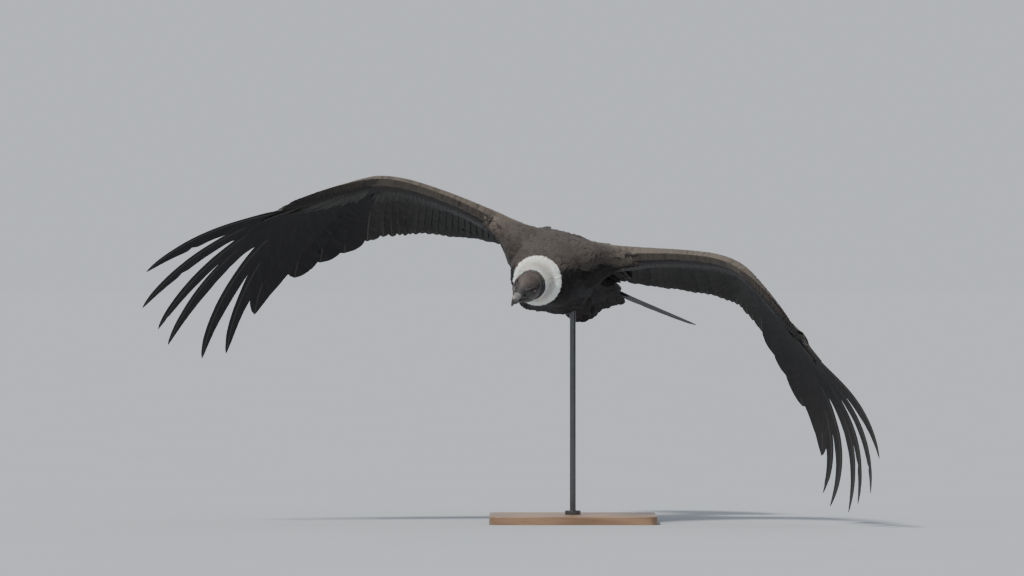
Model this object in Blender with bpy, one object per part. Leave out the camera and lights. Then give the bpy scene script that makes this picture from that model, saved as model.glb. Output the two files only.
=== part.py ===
"""Andean condor in flight, a life-size still model on a plain display stand.

Metres, +Z up.  The bird is modelled level in its own frame: +X is its left side,
it faces -Y, and its origin lies in the middle of the body.  One empty then turns
it to the yaw, pitch and bank of its glide and lifts it onto the stand's rod.
"""
import math
import random

import bmesh
import bpy
import numpy as np
from mathutils import Matrix, Vector

GAP = 0.0003

# The glide: nose to the bird's right, nose up, and left wing down.
YAW = math.radians(11.0)
PITCH = math.radians(7.6)
BANK = math.radians(14.2)
BODY_AT = Vector((-0.036, 0.045, 0.790))

# The stand.
BASE_LENGTH = 0.50
BASE_WIDTH = 0.42
BASE_THICK = 0.025
BASE_CORNER = 0.03
BASE_CHAMFER = 0.003
ROD_RADIUS = 0.009
COLLAR_RADIUS = 0.024
COLLAR_HEIGHT = 0.012
ROD_TOP = BODY_AT.z - 0.115

# The wing laid flat: u runs out along it, v back from the front of the shoulder.
SHOULDER = Vector((0.105, -0.10, 0.060))
ARM = 0.49
HAND = 0.24
ARM_CHORDS = (0.430, 0.438, 0.376)
ARM_CHORD_AT = (0.0, 0.25, 0.50)
PATAGIUM = 0.025
CAMBER = (0.035, 0.020, 0.010)
CAMBER_AT = (0.45, 0.80, 1.20)
CHORD_SCALE = 0.45
TWIST_AT = (0.0, 0.45, 1.0)
BEND_AT = (0.0, 0.18, 0.36, 0.50, 0.70, 0.95, 1.30)
BEND_STEPS = 271
BEND_BLUR = 31

# How each wing is held, in degrees: rise of the wing along its length, sweep of
# the arm forward and of the hand back, and twist of the chord.
POSTURE = {
    "right": {"side": -1, "bend": (11, 6, 0, -34, -31.5, -43, -59),
              "arm": 23.4, "hand": -6.8, "twist": (22.8, 22.3, 29)},
    "left": {"side": 1, "bend": (7, 10, 5.5, -30, -36, -34.5, -74),
             "arm": 14.4, "hand": -8.1, "twist": (19, 15.6, 26.6)},
}

# Primaries from the innermost out: direction in degrees back from straight out,
# and length.
PRIMARY_TURN = (71, 63, 55, 45, 41.4, 35.5, 24.5, 18.8, 6.8, -6.6)
PRIMARY_LENGTH = (0.370, 0.390, 0.440, 0.580, 0.731, 0.747, 0.715, 0.659, 0.612, 0.516)
PRIMARY_REST_SWEEP = 8.0
PRIMARY_STEP = 0.0024
PRIMARY_ROOT_BACK = 0.025
PRIMARY_TILT = 0.05
PRIMARY_SHARES = (0.0, 0.16, 0.36, 0.54, 0.76, 0.94, 1.0)
# Where along each primary its inner vane narrows to leave the slot; past 1, nowhere.
SLOT_AT = (2.0, 2.0, 2.0, 2.0, 0.66, 0.48, 0.38, 0.42, 0.38, 0.28)
# Reach of the vanes in front of the shaft and behind it, and how much the slot takes.
BROAD_VANE = (0.030, 0.060)
FINGER_VANE = (0.018, 0.048)
SLOT_CUT = (0.006, 0.024)
SLOT_RAMP = 0.16
VANE_ROOT = 0.004
VANE_TIP = 0.0016
SABER = math.radians(16.0)
OUTER_SABER = {9: math.radians(4.0), 10: math.radians(6.0)}

# Secondaries, from the body to the wrist.
SECONDARIES = 17
SECONDARY_FIRST = 0.058
SECONDARY_LAST = 0.014
SECONDARY_ROOT_BACK = 0.085
SECONDARY_TURN_AT = (0, 0.3, 0.6, 0.85, 1.0)
SECONDARY_TURN = (95, 91, 85, 75, 63)
SECONDARY_BEND = math.radians(5)
SECONDARY_VANE = (0.019, 0.028)
# How much shorter the first secondaries are at the body, and the last at the wrist.
SECONDARY_SHORTER = (0.14, 0.15)
SECONDARY_SHORT_OVER = (0.12, 0.25)
SECONDARY_SHARES = (0.0, 0.3, 0.88, 1.0)
SECONDARY_TILT = 0.10

# Coverts, tier by tier: how many lie on the arm, their share of the flight
# feather's length, how far behind the front they root, and their height over the
# wing's middle at the root and along the vane.
TIERS = (
    {"count": 10, "share": 0.50, "back": 0.075, "rise": (0.0020, 0.0080)},
    {"count": 10, "share": 0.46, "back": 0.075, "rise": (-0.0070, -0.0130)},
)
COVERT_VANE = (0.024, 0.030)
COVERT_BEND = math.radians(6)
COVERT_SHARES = (0.0, 0.35, 0.85, 1.0)
COVERT_TILT = 0.08
# The coverts over and under the primaries' roots; their inner reach shrinks outward.
HAND_COVERTS = 7
HAND_COVERT_SHARE = (0.42, 0.20)
HAND_COVERT_VANE = (0.016, 0.022, 0.016)
HAND_COVERT_RISE = ((0.0060, 0.0100), (-0.0050, -0.0095))

# Half thickness of a vane at its edge, of its shaft at the root, and of a covert.
EDGE = 0.0003
SHAFT = 0.0009
SHAFT_TAPER = 0.45
COVERT_THICK = 0.00045
BLUNT_ROOT = 0.005


def clear_scene():
    """Empty the file of everything it starts with."""
    for item in list(bpy.data.objects):
        bpy.data.objects.remove(item, do_unlink=True)


class Wing:
    """One wing's flat plan, and the bent and twisted surface that it is laid on."""

    def __init__(self, name):
        held = POSTURE[name]
        self.name = name
        self.side = held["side"]
        self.arm_sweep = math.radians(held["arm"])
        self.hand_sweep = math.radians(held["hand"])
        self.twist = np.radians(held["twist"])
        self.wrist = ARM * math.cos(self.arm_sweep)
        self.reach = np.linspace(0.0, 1.35, BEND_STEPS)
        step = self.reach[1] - self.reach[0]
        rise = np.interp(self.reach, BEND_AT, np.radians(held["bend"]))
        rise = np.pad(rise, BEND_BLUR // 2, mode="edge")
        self.rise = np.convolve(rise, np.ones(BEND_BLUR) / BEND_BLUR, "valid")
        across = (np.cos(self.rise[1:]) + np.cos(self.rise[:-1])) * step / 2
        upward = (np.sin(self.rise[1:]) + np.sin(self.rise[:-1])) * step / 2
        self.across = np.concatenate([[0.0], np.cumsum(across)])
        self.upward = np.concatenate([[0.0], np.cumsum(upward)])

    def front(self, u):
        """The leading edge's place v at u."""
        if u < self.wrist:
            x = u / self.wrist
            swept = ARM * math.sin(self.arm_sweep) * (1 - x)
            return swept + PATAGIUM * math.sin(math.pi * max(x, 0.0))
        return (u - self.wrist) * math.tan(self.hand_sweep)

    def back(self, u):
        """The trailing edge's place v at u, along the arm."""
        return float(np.interp(u, ARM_CHORD_AT, ARM_CHORDS))

    def place(self, u, v, h=0.0):
        """The point of the bird that is at (u, v) of the flat wing, h above it."""
        behind = v - self.front(u)
        twist = float(np.interp(u, TWIST_AT, self.twist))
        crown = float(np.interp(u, CAMBER_AT, CAMBER))
        x = min(max(behind / CHORD_SCALE, 0.0), 1.0)
        lift = crown * 4 * x * (1 - x) - behind * math.sin(twist) + h
        rise = float(np.interp(u, self.reach, self.rise))
        out = float(np.interp(u, self.reach, self.across))
        if u < 0:
            out += u
        out -= math.sin(rise) * lift
        up = float(np.interp(u, self.reach, self.upward)) + math.cos(rise) * lift
        run = self.front(u) + behind * math.cos(twist) - self.front(0.0)
        return Vector((self.side * (SHOULDER.x + out), SHOULDER.y + run, SHOULDER.z + up))


def loft(name, rings, closed=False):
    """A closed body through rings of points, its two sides split into triangles alike."""
    count = len(rings[0])
    half = count // 2
    mesh = bmesh.new()
    rows = [[mesh.verts.new(p) for p in ring] for ring in rings]
    pairs = list(zip(rows, rows[1:]))
    if closed:
        pairs.append((rows[-1], rows[0]))
    for low, high in pairs:
        for j in range(count):
            k = (j + 1) % count
            if j < half:
                mesh.faces.new((low[j], low[k], high[k]))
                mesh.faces.new((low[j], high[k], high[j]))
            else:
                mesh.faces.new((low[j], low[k], high[j]))
                mesh.faces.new((low[k], high[k], high[j]))
    if not closed:
        for row in (rows[0], rows[-1]):
            face = mesh.faces.new(row)
            bmesh.ops.triangulate(mesh, faces=[face])
    bmesh.ops.recalc_face_normals(mesh, faces=mesh.faces)
    if mesh.calc_volume(signed=True) < 0:
        bmesh.ops.reverse_faces(mesh, faces=mesh.faces)
    return finish_mesh(name, mesh)


def finish_mesh(name, mesh):
    data = bpy.data.meshes.new(name)
    mesh.to_mesh(data)
    mesh.free()
    item = bpy.data.objects.new(name, data)
    bpy.context.scene.collection.objects.link(item)
    return item


def oval_ring(centre, right, up, half_width, above, below, count, square=2.0):
    """Points round an oval whose upper and lower halves differ in height."""
    points = []
    for i in range(count):
        turn = 2 * math.pi * i / count
        c = math.cos(turn)
        s = math.sin(turn)
        x = math.copysign(abs(c) ** (2 / square), c) * half_width
        z = math.copysign(abs(s) ** (2 / square), s) * (above if s > 0 else below)
        points.append(centre + right * x + up * z)
    return points


def curved_path(u, v, turn, bend, length, shares):
    """Points at the given shares of a flat path whose heading bends as it goes."""
    path = [(u, v)]
    for near, far in zip(shares, shares[1:]):
        heading = turn + bend * ((near + far) / 2) ** 2
        u += math.cos(heading) * length * (far - near)
        v += math.sin(heading) * length * (far - near)
        path.append((u, v))
    return path


def spread(share, root, full, tip, ramp=0.3, round_off=0.80):
    """A vane's half width: narrow at its root, full, then rounded off to its tip."""
    if share < ramp:
        return root + (full - root) * share / ramp
    if share > round_off:
        x = (share - round_off) / (1 - round_off)
        return max(tip, full * math.sqrt(max(0.0, 1 - x * x)))
    return full


def even_widths(ahead, behind, tip=BLUNT_ROOT):
    """The reach of a plain vane in front of its shaft and behind it, at a share."""
    def widths(share):
        return spread(share, BLUNT_ROOT, ahead, tip), spread(share, BLUNT_ROOT, behind, tip)
    return widths


def blade(place, path, shares, widths, lifts, tilt, shaft=SHAFT, edge=EDGE):
    """A closed vane along a flat path, its leading edge raised by the tilt.

    widths gives the vane's reach in front of its shaft and behind it at a share
    of its length, and lifts its height there.  With no shaft it is a flat blade.
    """
    rings = []
    last = len(path) - 1
    for i, (u, v) in enumerate(path):
        before = path[max(i - 1, 0)]
        after = path[min(i + 1, last)]
        run = math.hypot(after[0] - before[0], after[1] - before[1])
        side = ((after[1] - before[1]) / run, -(after[0] - before[0]) / run)
        ahead, behind = widths(shares[i])
        lift = lifts(shares[i])
        row = [(ahead, edge), (-behind, edge)]
        if shaft:
            row.insert(1, (0.0, shaft * (1 - SHAFT_TAPER * shares[i])))
        top = [place(u + side[0] * x, v + side[1] * x, lift + tilt * x + h) for x, h in row]
        low = [place(u + side[0] * x, v + side[1] * x, lift + tilt * x - h)
               for x, h in reversed(row)]
        rings.append(top + low)
    return loft("blade", rings)


def body_of_sections(name, sections, count, square=2.0):
    """A body along Y from rows of (y, x, z, half width, height above, depth below)."""
    rings = []
    for y, x, z, wide, above, below in sections:
        centre = Vector((x, y, z))
        rings.append(oval_ring(centre, Vector((1, 0, 0)), Vector((0, 0, 1)),
                               wide, above, below, count, square))
    return loft(name, rings)


def evaluated_copy(item, name):
    """A plain mesh copy of an object with its modifiers applied."""
    graph = bpy.context.evaluated_depsgraph_get()
    data = bpy.data.meshes.new_from_object(item.evaluated_get(graph))
    data.name = name
    copy = bpy.data.objects.new(name, data)
    copy.matrix_world = item.matrix_world
    bpy.context.scene.collection.objects.link(copy)
    return copy


def swollen(item, amount=GAP):
    """A copy of a body grown by amount along its normals, to cut its socket."""
    copy = evaluated_copy(item, item.name + "_cutter")
    mesh = bmesh.new()
    mesh.from_mesh(copy.data)
    mesh.normal_update()
    moves = [v.normal * amount * v.calc_shell_factor() for v in mesh.verts]
    for v, move in zip(mesh.verts, moves):
        v.co += move
    mesh.to_mesh(copy.data)
    mesh.free()
    return copy


def apply_boolean(item, operation, others, solver="EXACT"):
    """Join a list of bodies to item, or cut them from it, in one step."""
    group = bpy.data.collections.new(item.name + "_tools")
    for other in others:
        group.objects.link(other)
    modifier = item.modifiers.new("fuse", "BOOLEAN")
    modifier.operation = operation
    modifier.operand_type = "COLLECTION"
    modifier.collection = group
    modifier.solver = solver
    result = evaluated_copy(item, item.name)
    item.modifiers.clear()
    item.data = result.data
    bpy.data.objects.remove(result, do_unlink=True)
    for other in others:
        bpy.data.objects.remove(other, do_unlink=True)
    bpy.data.collections.remove(group)
    keep_largest(item)


def keep_largest(item):
    """Weld the mesh and drop all but its largest closed surface."""
    mesh = bmesh.new()
    mesh.from_mesh(item.data)
    bmesh.ops.remove_doubles(mesh, verts=mesh.verts, dist=1e-6)
    bmesh.ops.dissolve_degenerate(mesh, dist=1e-6, edges=mesh.edges)
    bmesh.ops.triangulate(mesh, faces=mesh.faces)
    left = set(mesh.faces)
    groups = []
    while left:
        stack = [left.pop()]
        group = set(stack)
        while stack:
            for edge in stack.pop().edges:
                for face in edge.link_faces:
                    if face in left:
                        left.discard(face)
                        group.add(face)
                        stack.append(face)
        groups.append(group)
    groups.sort(key=len, reverse=True)
    scraps = [face for group in groups[1:] for face in group]
    bmesh.ops.delete(mesh, geom=scraps, context="FACES")
    loose = [v for v in mesh.verts if not v.link_faces]
    bmesh.ops.delete(mesh, geom=loose, context="VERTS")
    mesh.to_mesh(item.data)
    mesh.free()


def paint(item, name, colour, roughness, metallic=0.0):
    """Give a node its own Principled material, and shade its round surfaces smooth."""
    material = bpy.data.materials.new(name)
    material.use_nodes = True
    shader = material.node_tree.nodes["Principled BSDF"]
    shader.inputs["Base Color"].default_value = (*colour, 1.0)
    shader.inputs["Roughness"].default_value = roughness
    shader.inputs["Metallic"].default_value = metallic
    item.data.materials.clear()
    item.data.materials.append(material)
    item.data.shade_smooth()
    item.data.set_sharp_from_angle(angle=math.radians(40))
    return item


PLUMAGE = (0.030, 0.028, 0.028)
MANTLE = (0.075, 0.066, 0.062)
DOWN = (0.82, 0.80, 0.76)
SKIN = (0.085, 0.068, 0.062)
HORN = (0.30, 0.29, 0.27)
SCALE = (0.16, 0.15, 0.14)
IRIS = (0.16, 0.03, 0.02)
STEEL = (0.10, 0.10, 0.11)
OAK = (0.20, 0.13, 0.08)


# Torso, neck and ruff

TORSO_RING = 24
TORSO_SQUARE = 2.6
TORSO = (
    (-0.300, 0.004, -0.104, 0.052, 0.050, 0.048),
    (-0.270, 0.003, -0.094, 0.078, 0.080, 0.066),
    (-0.230, 0.001, -0.078, 0.098, 0.106, 0.088),
    (-0.180, 0.000, -0.060, 0.112, 0.114, 0.108),
    (-0.120, 0.000, -0.047, 0.120, 0.122, 0.118),
    (-0.050, 0.000, -0.040, 0.122, 0.121, 0.126),
    (0.030, 0.000, -0.037, 0.118, 0.115, 0.124),
    (0.110, 0.000, -0.030, 0.102, 0.104, 0.114),
    (0.180, 0.000, -0.020, 0.086, 0.084, 0.096),
    (0.240, 0.000, -0.008, 0.068, 0.059, 0.072),
    (0.290, 0.000, 0.000, 0.052, 0.036, 0.048),
    (0.318, 0.000, 0.003, 0.034, 0.022, 0.028),
)

NECK_RING = 18
NECK = (
    (Vector((0.003, -0.240, -0.086)), 0.045),
    (Vector((0.003, -0.290, -0.104)), 0.046),
    (Vector((0.001, -0.325, -0.118)), 0.045),
    (Vector((-0.001, -0.352, -0.130)), 0.043),
    (Vector((-0.002, -0.378, -0.139)), 0.036),
)


def tube(name, stations, count):
    """A round body along a path of (point, radius)."""
    rings = []
    for i, (point, radius) in enumerate(stations):
        before = stations[max(i - 1, 0)][0]
        after = stations[min(i + 1, len(stations) - 1)][0]
        along = (after - before).normalized()
        right = along.cross(Vector((0, 0, 1)))
        if right.length < 0.1:
            right = along.cross(Vector((1, 0, 0)))
        right.normalize()
        up = right.cross(along)
        rings.append(oval_ring(point, right, up, radius, radius, radius, count))
    return loft(name, rings)


# The ruff's middle, its axis, and its size across.
RUFF_AT = Vector((0.004, -0.297, -0.1065))
RUFF_AXIS = Vector((-0.08, -0.95, -0.22)).normalized()
RUFF_RADIUS = 0.056
RUFF_TUBE = 0.0105
RUFF_SIDES = 18
# Rows of locks: how many, lean towards the head in degrees, length, shift along the axis.
RUFF_ROWS = ((10, 62, 0.026, 0.003), (11, -8, 0.0215, -0.002))
LOCK_SHARES = (0.0, 0.4, 0.8, 1.0)
LOCK_THICK = 0.0016
LOCK_OVERLAP = 1.20
LOCK_CURL = -0.004


def frame_on(axis):
    """Two unit vectors square to an axis: sideways and upward."""
    side = axis.cross(Vector((0, 0, 1))).normalized()
    return side, side.cross(axis)


def lock(root, along, across, length, width, curl):
    """A flat tapered lock of down that bends over towards its tip."""
    normal = along.cross(across).normalized()
    rings = []
    for share in LOCK_SHARES:
        centre = root + along * (length * share) + normal * (curl * share * share)
        half = across * spread(share, width * 0.7, width, width * 0.28, 0.3, 0.55)
        thick = normal * (LOCK_THICK * (1 - 0.55 * share))
        rings.append([centre + half + thick, centre - half + thick,
                      centre - half - thick, centre + half - thick])
    return loft("lock", rings)


def make_ruff():
    """The collar of down round the neck: a core ring and rows of flat locks."""
    draw = random.Random(11)
    side, up = frame_on(RUFF_AXIS)
    rings = []
    for i in range(RUFF_SIDES):
        turn = 2 * math.pi * i / RUFF_SIDES
        out = side * math.cos(turn) + up * math.sin(turn)
        rings.append(oval_ring(RUFF_AT + out * RUFF_RADIUS, out, RUFF_AXIS,
                               RUFF_TUBE, RUFF_TUBE, RUFF_TUBE, 6))
    ruff = loft("ruff", rings, closed=True)
    locks = []
    for row, (count, lean, length, shift) in enumerate(RUFF_ROWS):
        for i in range(count):
            turn = 2 * math.pi * (i + 0.5 * (row % 2) + draw.uniform(-0.1, 0.1)) / count
            out = side * math.cos(turn) + up * math.sin(turn)
            across = RUFF_AXIS.cross(out)
            rake = math.radians(lean + draw.uniform(-4, 4))
            along = out * math.cos(rake) + RUFF_AXIS * math.sin(rake)
            root = RUFF_AT + out * RUFF_RADIUS + RUFF_AXIS * shift
            width = math.pi * RUFF_RADIUS / count * LOCK_OVERLAP
            locks.append(lock(root, along, across, length * draw.uniform(0.93, 1.05),
                              width, LOCK_CURL))
    apply_boolean(ruff, "UNION", locks, "MANIFOLD")
    return ruff


# Head, bill and eyes, in the head's own frame: it faces -Y, +X is its left.

HEAD_AT = Vector((-0.0030, -0.400, -0.143))
HEAD_YAW = math.radians(-4.3)
HEAD_PITCH = math.radians(25.4)
HEAD_ROLL = math.radians(8.0)
HEAD_RING = 18
HEAD = (
    (0.052, 0.0, -0.006, 0.012, 0.016, 0.014),
    (0.047, 0.0, -0.005, 0.024, 0.028, 0.026),
    (0.036, 0.0, -0.004, 0.034, 0.038, 0.039),
    (0.018, 0.0, -0.002, 0.0385, 0.042, 0.045),
    (0.000, 0.0, 0.000, 0.0385, 0.041, 0.045),
    (-0.018, 0.0, -0.001, 0.034, 0.036, 0.040),
    (-0.034, 0.0, -0.003, 0.026, 0.029, 0.031),
    (-0.048, 0.0, -0.006, 0.019, 0.023, 0.022),
    (-0.060, 0.0, -0.009, 0.0155, 0.020, 0.0150),
    (-0.070, 0.0, -0.010, 0.0135, 0.0175, 0.0115),
    (-0.074, 0.0, -0.010, 0.0120, 0.0155, 0.0095),
)
HEAD_SQUARE = 2.1
EYE_AT = Vector((0.0255, -0.0230, 0.0095))
EYE_RADIUS = 0.0092
# The lid's axis for the left eye, how far out it stands, its radius and thickness.
LID_AXIS = (1.0, -0.38, 0.10)
LID_OUT = 0.0052
LID_RADIUS = 0.0088
LID_THICK = 0.0030
# The brow from the eye's middle on, and the mouth's corner from the seam on: places
# on the left side with the radius there.
BROW = ((0.002, 0.016, 0.013, 0.0040), (0.006, 0.004, 0.0135, 0.0050),
        (0.005, -0.009, 0.0115, 0.0045), (-0.001, -0.018, 0.007, 0.0030))
GAPE = ((0.0095, -0.070, -0.002, 0.0026), (0.0170, -0.052, -0.002, 0.0036),
        (0.0250, -0.034, -0.001, 0.0036), (0.0290, -0.020, 0.000, 0.0024))
NOSTRIL_AT = Vector((0.0, -0.0555, -0.002))
NOSTRIL_RADIUS = 0.0034
NOSTRIL_SHAPE = (8.0, 1.7, 0.62)

BILL_RING = 12
BILL_SQUARE = 2.3
# Where the upper bill's hook starts to reach below the seam.
HOOK_FROM = -0.110
BILL_SEAM = -0.0150
UPPER_BILL = (
    (-0.066, 0.0090, 0.000, 0.0060),
    (-0.078, 0.0112, 0.006, 0.0165),
    (-0.088, 0.0108, 0.0065, 0.0180),
    (-0.098, 0.0096, 0.005, 0.0180),
    (-0.106, 0.0080, 0.001, 0.0160),
    (-0.1115, 0.0058, -0.006, 0.0140),
    (-0.1132, 0.0038, -0.0135, 0.0112),
    (-0.1143, 0.0021, -0.0205, 0.0060),
)


def head_matrix():
    turn = (Matrix.Rotation(HEAD_YAW, 4, "Z") @ Matrix.Rotation(HEAD_PITCH, 4, "X")
            @ Matrix.Rotation(HEAD_ROLL, 4, "Y"))
    return Matrix.Translation(HEAD_AT) @ turn


def on_head(item):
    """Move a body from the head's frame to the bird's."""
    item.data.transform(head_matrix())
    return item


def ball(name, centre, radius, scale=(1, 1, 1), segments=10, rings=7):
    mesh = bmesh.new()
    bmesh.ops.create_uvsphere(mesh, u_segments=segments, v_segments=rings, radius=radius)
    bmesh.ops.scale(mesh, vec=Vector(scale), verts=mesh.verts)
    bmesh.ops.translate(mesh, vec=centre, verts=mesh.verts)
    return finish_mesh(name, mesh)


def ring_body(name, centre, axis, radius, thickness, count=10, sides=4):
    """A closed round rim, such as a lid, about an axis."""
    side, up = frame_on(axis)
    rings = []
    for i in range(count):
        turn = 2 * math.pi * i / count
        out = side * math.cos(turn) + up * math.sin(turn)
        rings.append(oval_ring(centre + out * radius, out, axis,
                               thickness, thickness, thickness, sides))
    return loft(name, rings, closed=True)


def make_upper_bill():
    """The hooked upper bill: flat along the mouth, rounded over the top."""
    rings = []
    for y, wide, top, tall in UPPER_BILL:
        low = max(BILL_SEAM, top - tall) if y > HOOK_FROM else top - tall
        middle = top - (top - low) * 0.45
        rings.append(oval_ring(Vector((0, y, middle)), Vector((1, 0, 0)), Vector((0, 0, 1)),
                               wide, top - middle, middle - low, BILL_RING, BILL_SQUARE))
    return loft("bill_upper", rings)


LOWER_BILL = (
    (-0.062, 0.0090, 0.0070),
    (-0.076, 0.0098, 0.0100),
    (-0.088, 0.0086, 0.0100),
    (-0.098, 0.0066, 0.0080),
    (-0.1045, 0.0040, 0.0040),
)


def make_lower_bill():
    """The lower bill, shut under the upper one."""
    rings = []
    for y, wide, tall in LOWER_BILL:
        middle = BILL_SEAM - GAP * 2 - tall * 0.4
        rings.append(oval_ring(Vector((0, y, middle)), Vector((1, 0, 0)), Vector((0, 0, 1)),
                               wide, tall * 0.4, tall * 0.6, BILL_RING, BILL_SQUARE))
    return loft("bill_lower", rings)


def make_head():
    """The bare head with lids, nostrils, the mouth's corners, eyes and bill."""
    head = body_of_sections("head", HEAD, HEAD_RING, HEAD_SQUARE)
    extras = []
    eyes = []
    for name, side in (("eye_left", 1), ("eye_right", -1)):
        centre = Vector((EYE_AT.x * side, EYE_AT.y, EYE_AT.z))
        look = Vector((side * LID_AXIS[0], LID_AXIS[1], LID_AXIS[2])).normalized()
        eyes.append(ball(name, centre, EYE_RADIUS))
        extras.append(ring_body("lid", centre + look * LID_OUT, look, LID_RADIUS, LID_THICK))
        seam = Vector((0, 0, BILL_SEAM))
        for fold, start, rows in (("brow", centre, BROW), ("gape", seam, GAPE)):
            path = [(start + Vector((side * x, y, z)), radius) for x, y, z, radius in rows]
            extras.append(tube(fold, path, 6))
    apply_boolean(head, "UNION", extras)
    upper = make_upper_bill()
    lower = make_lower_bill()
    mouth = [swollen(upper), swollen(lower)]
    apply_boolean(head, "DIFFERENCE", mouth)
    slot = ball("nostril", NOSTRIL_AT, NOSTRIL_RADIUS, NOSTRIL_SHAPE, 8, 6)
    apply_boolean(head, "DIFFERENCE", [slot] + [swollen(eye) for eye in eyes])
    for item in [head, upper, lower] + eyes:
        on_head(item)
    return head, upper, lower, eyes


# Legs, folded back under the tail

THIGH = (
    (Vector((0.056, 0.020, -0.094)), 0.036),
    (Vector((0.068, 0.050, -0.106)), 0.045),
    (Vector((0.073, 0.092, -0.113)), 0.043),
    (Vector((0.069, 0.135, -0.117)), 0.031),
    (Vector((0.062, 0.168, -0.122)), 0.020),
)
TARSUS = (
    (Vector((0.0630, 0.160, -0.1240)), 0.0105),
    (Vector((0.061, 0.182, -0.120)), 0.0115),
    (Vector((0.058, 0.208, -0.109)), 0.0100),
    (Vector((0.053, 0.246, -0.090)), 0.0100),
    (Vector((0.050, 0.268, -0.079)), 0.0120),
)
TOE_ROOT = Vector((0.050, 0.270, -0.078))
# Toes: sideways and down directions, length and radius, the middle one longest.
TOES = ((-24, -8, 0.070, 0.0082), (0, -6, 0.096, 0.0090), (26, -8, 0.066, 0.0080),
        (146, -52, 0.028, 0.0070))
TOE_BEND = math.radians(26)
TOE_SWELL = (1.0, 0.95, 1.0, 0.84, 0.66)
FOOT_RADIUS = 0.0135
FOOT_SHAPE = (1.1, 1.2, 0.8)
CLAW = 0.026
HIND_CLAW = 0.8
CLAW_BEND = math.radians(42)
CLAW_SUNK = 0.005
CLAW_TAPER = (0.52, 0.50, 0.38, 0.24, 0.07)


def curl_path(start, turn, dip, length, bend, steps):
    """A path that starts back along Y, turned sideways, and curls down as it goes."""
    points = [start]
    heading = Vector((math.sin(turn), math.cos(turn), 0))
    for i in range(steps):
        fall = dip - bend * (i + 0.5) / steps
        step = heading * math.cos(fall) + Vector((0, 0, math.sin(fall)))
        points.append(points[-1] + step * (length / steps))
    return points


def make_leg(name, side):
    """Thigh, tarsus, toes and claws of one leg, each its own body."""
    mirror = Matrix.Scale(side, 3, Vector((1, 0, 0)))
    thigh = tube("thigh_" + name, [(mirror @ p, r) for p, r in THIGH], 14)
    tarsus = tube("tarsus_" + name, [(mirror @ p, r) for p, r in TARSUS], 10)
    foot = ball("foot_" + name, mirror @ TOE_ROOT, FOOT_RADIUS, FOOT_SHAPE, 10, 6)
    toes = []
    claws = []
    for number, (turn, dip, length, radius) in enumerate(TOES, 1):
        turn = math.radians(turn) * side
        path = curl_path(mirror @ TOE_ROOT, turn, math.radians(dip), length, TOE_BEND,
                         len(TOE_SWELL) - 1)
        toes.append(tube("toe", [(p, radius * k) for p, k in zip(path, TOE_SWELL)], 6))
        dip_end = math.radians(dip) - TOE_BEND * 0.9
        long = CLAW * (1.0 if number < 4 else HIND_CLAW)
        start = path[-1] - (path[-1] - path[-2]).normalized() * CLAW_SUNK
        hook = curl_path(start, turn, dip_end, long, CLAW_BEND, len(CLAW_TAPER) - 1)
        shape = [(p, radius * k) for p, k in zip(hook, CLAW_TAPER)]
        claws.append(tube("claw_%s_%d" % (name, number), shape, 6))
    apply_boolean(foot, "UNION", toes)
    apply_boolean(tarsus, "DIFFERENCE", [swollen(thigh)])
    apply_boolean(foot, "DIFFERENCE", [swollen(tarsus)])
    apply_boolean(foot, "DIFFERENCE", [swollen(claw) for claw in claws])
    return thigh, tarsus, foot, claws


# Wings

ARM_RING = ((0.0, 0.0), (0.10, 0.62), (0.28, 1.0), (0.52, 0.86), (0.76, 0.52), (1.0, 0.16),
            (1.0, -0.16), (0.76, -0.42), (0.52, -0.66), (0.28, -0.74), (0.10, -0.46))
ARM_BODY = (
    (-0.045, 0.195, 0.042, -0.028),
    (0.000, 0.195, 0.042, -0.029),
    (0.060, 0.185, 0.034, -0.025),
    (0.140, 0.165, 0.024, -0.016),
    (0.230, 0.150, 0.0185, -0.011),
    (0.320, 0.145, 0.0170, -0.010),
)
HAND_BODY = (
    (0.0, 0.135, 0.0165, 0.0, -0.0085),
    (0.16, 0.125, 0.0160, 0.006, -0.0070),
    (0.33, 0.110, 0.0150, 0.010, -0.0050),
    (0.50, 0.095, 0.0135, 0.014, -0.0020),
    (0.68, 0.078, 0.0120, 0.016, 0.0005),
    (0.84, 0.060, 0.0100, 0.016, 0.0020),
    (1.00, 0.040, 0.0080, 0.014, 0.0030),
    (1.16, 0.018, 0.0050, 0.008, 0.0030),
)


def wing_ring(wing, u, chord, thick, droop=0.0, ahead=0.0):
    """One section of the wing's flesh: rounded in front, thin at the back."""
    front = wing.front(u) - ahead
    chord += ahead
    return [wing.place(u, front + chord * x, thick * z + droop) for x, z in ARM_RING]


def arm_flesh(wing):
    rings = [wing_ring(wing, u, chord, thick, droop) for u, chord, thick, droop in ARM_BODY]
    last = ARM_BODY[-1]
    first = HAND_BODY[0]
    end = wing.wrist - GAP
    steps = 3
    for i in range(1, steps + 1):
        u = last[0] + (end - last[0]) * i / steps
        rings.append(wing_ring(wing, u, last[1] + (first[1] - last[1]) * i / steps,
                               last[2] + (first[2] - last[2]) * i / steps,
                               last[3] + (first[4] - last[3]) * i / steps))
    return loft("arm", rings)


def hand_flesh(wing):
    rings = []
    for share, chord, thick, ahead, droop in HAND_BODY:
        u = wing.wrist + GAP / 2 + share * HAND * math.cos(wing.hand_sweep)
        rings.append(wing_ring(wing, u, chord, thick, droop - PRIMARY_STEP * 9 * share, ahead))
    return loft("hand", rings)


def primary_start(wing, number):
    """Where a primary roots on the hand, and its heading there."""
    share = number / 10.0
    u = wing.wrist + share * HAND * math.cos(wing.hand_sweep)
    v = PRIMARY_ROOT_BACK + share * HAND * math.sin(wing.hand_sweep)
    turn = math.radians(PRIMARY_TURN[number - 1] - PRIMARY_REST_SWEEP) + wing.hand_sweep
    return u, v, turn


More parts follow.
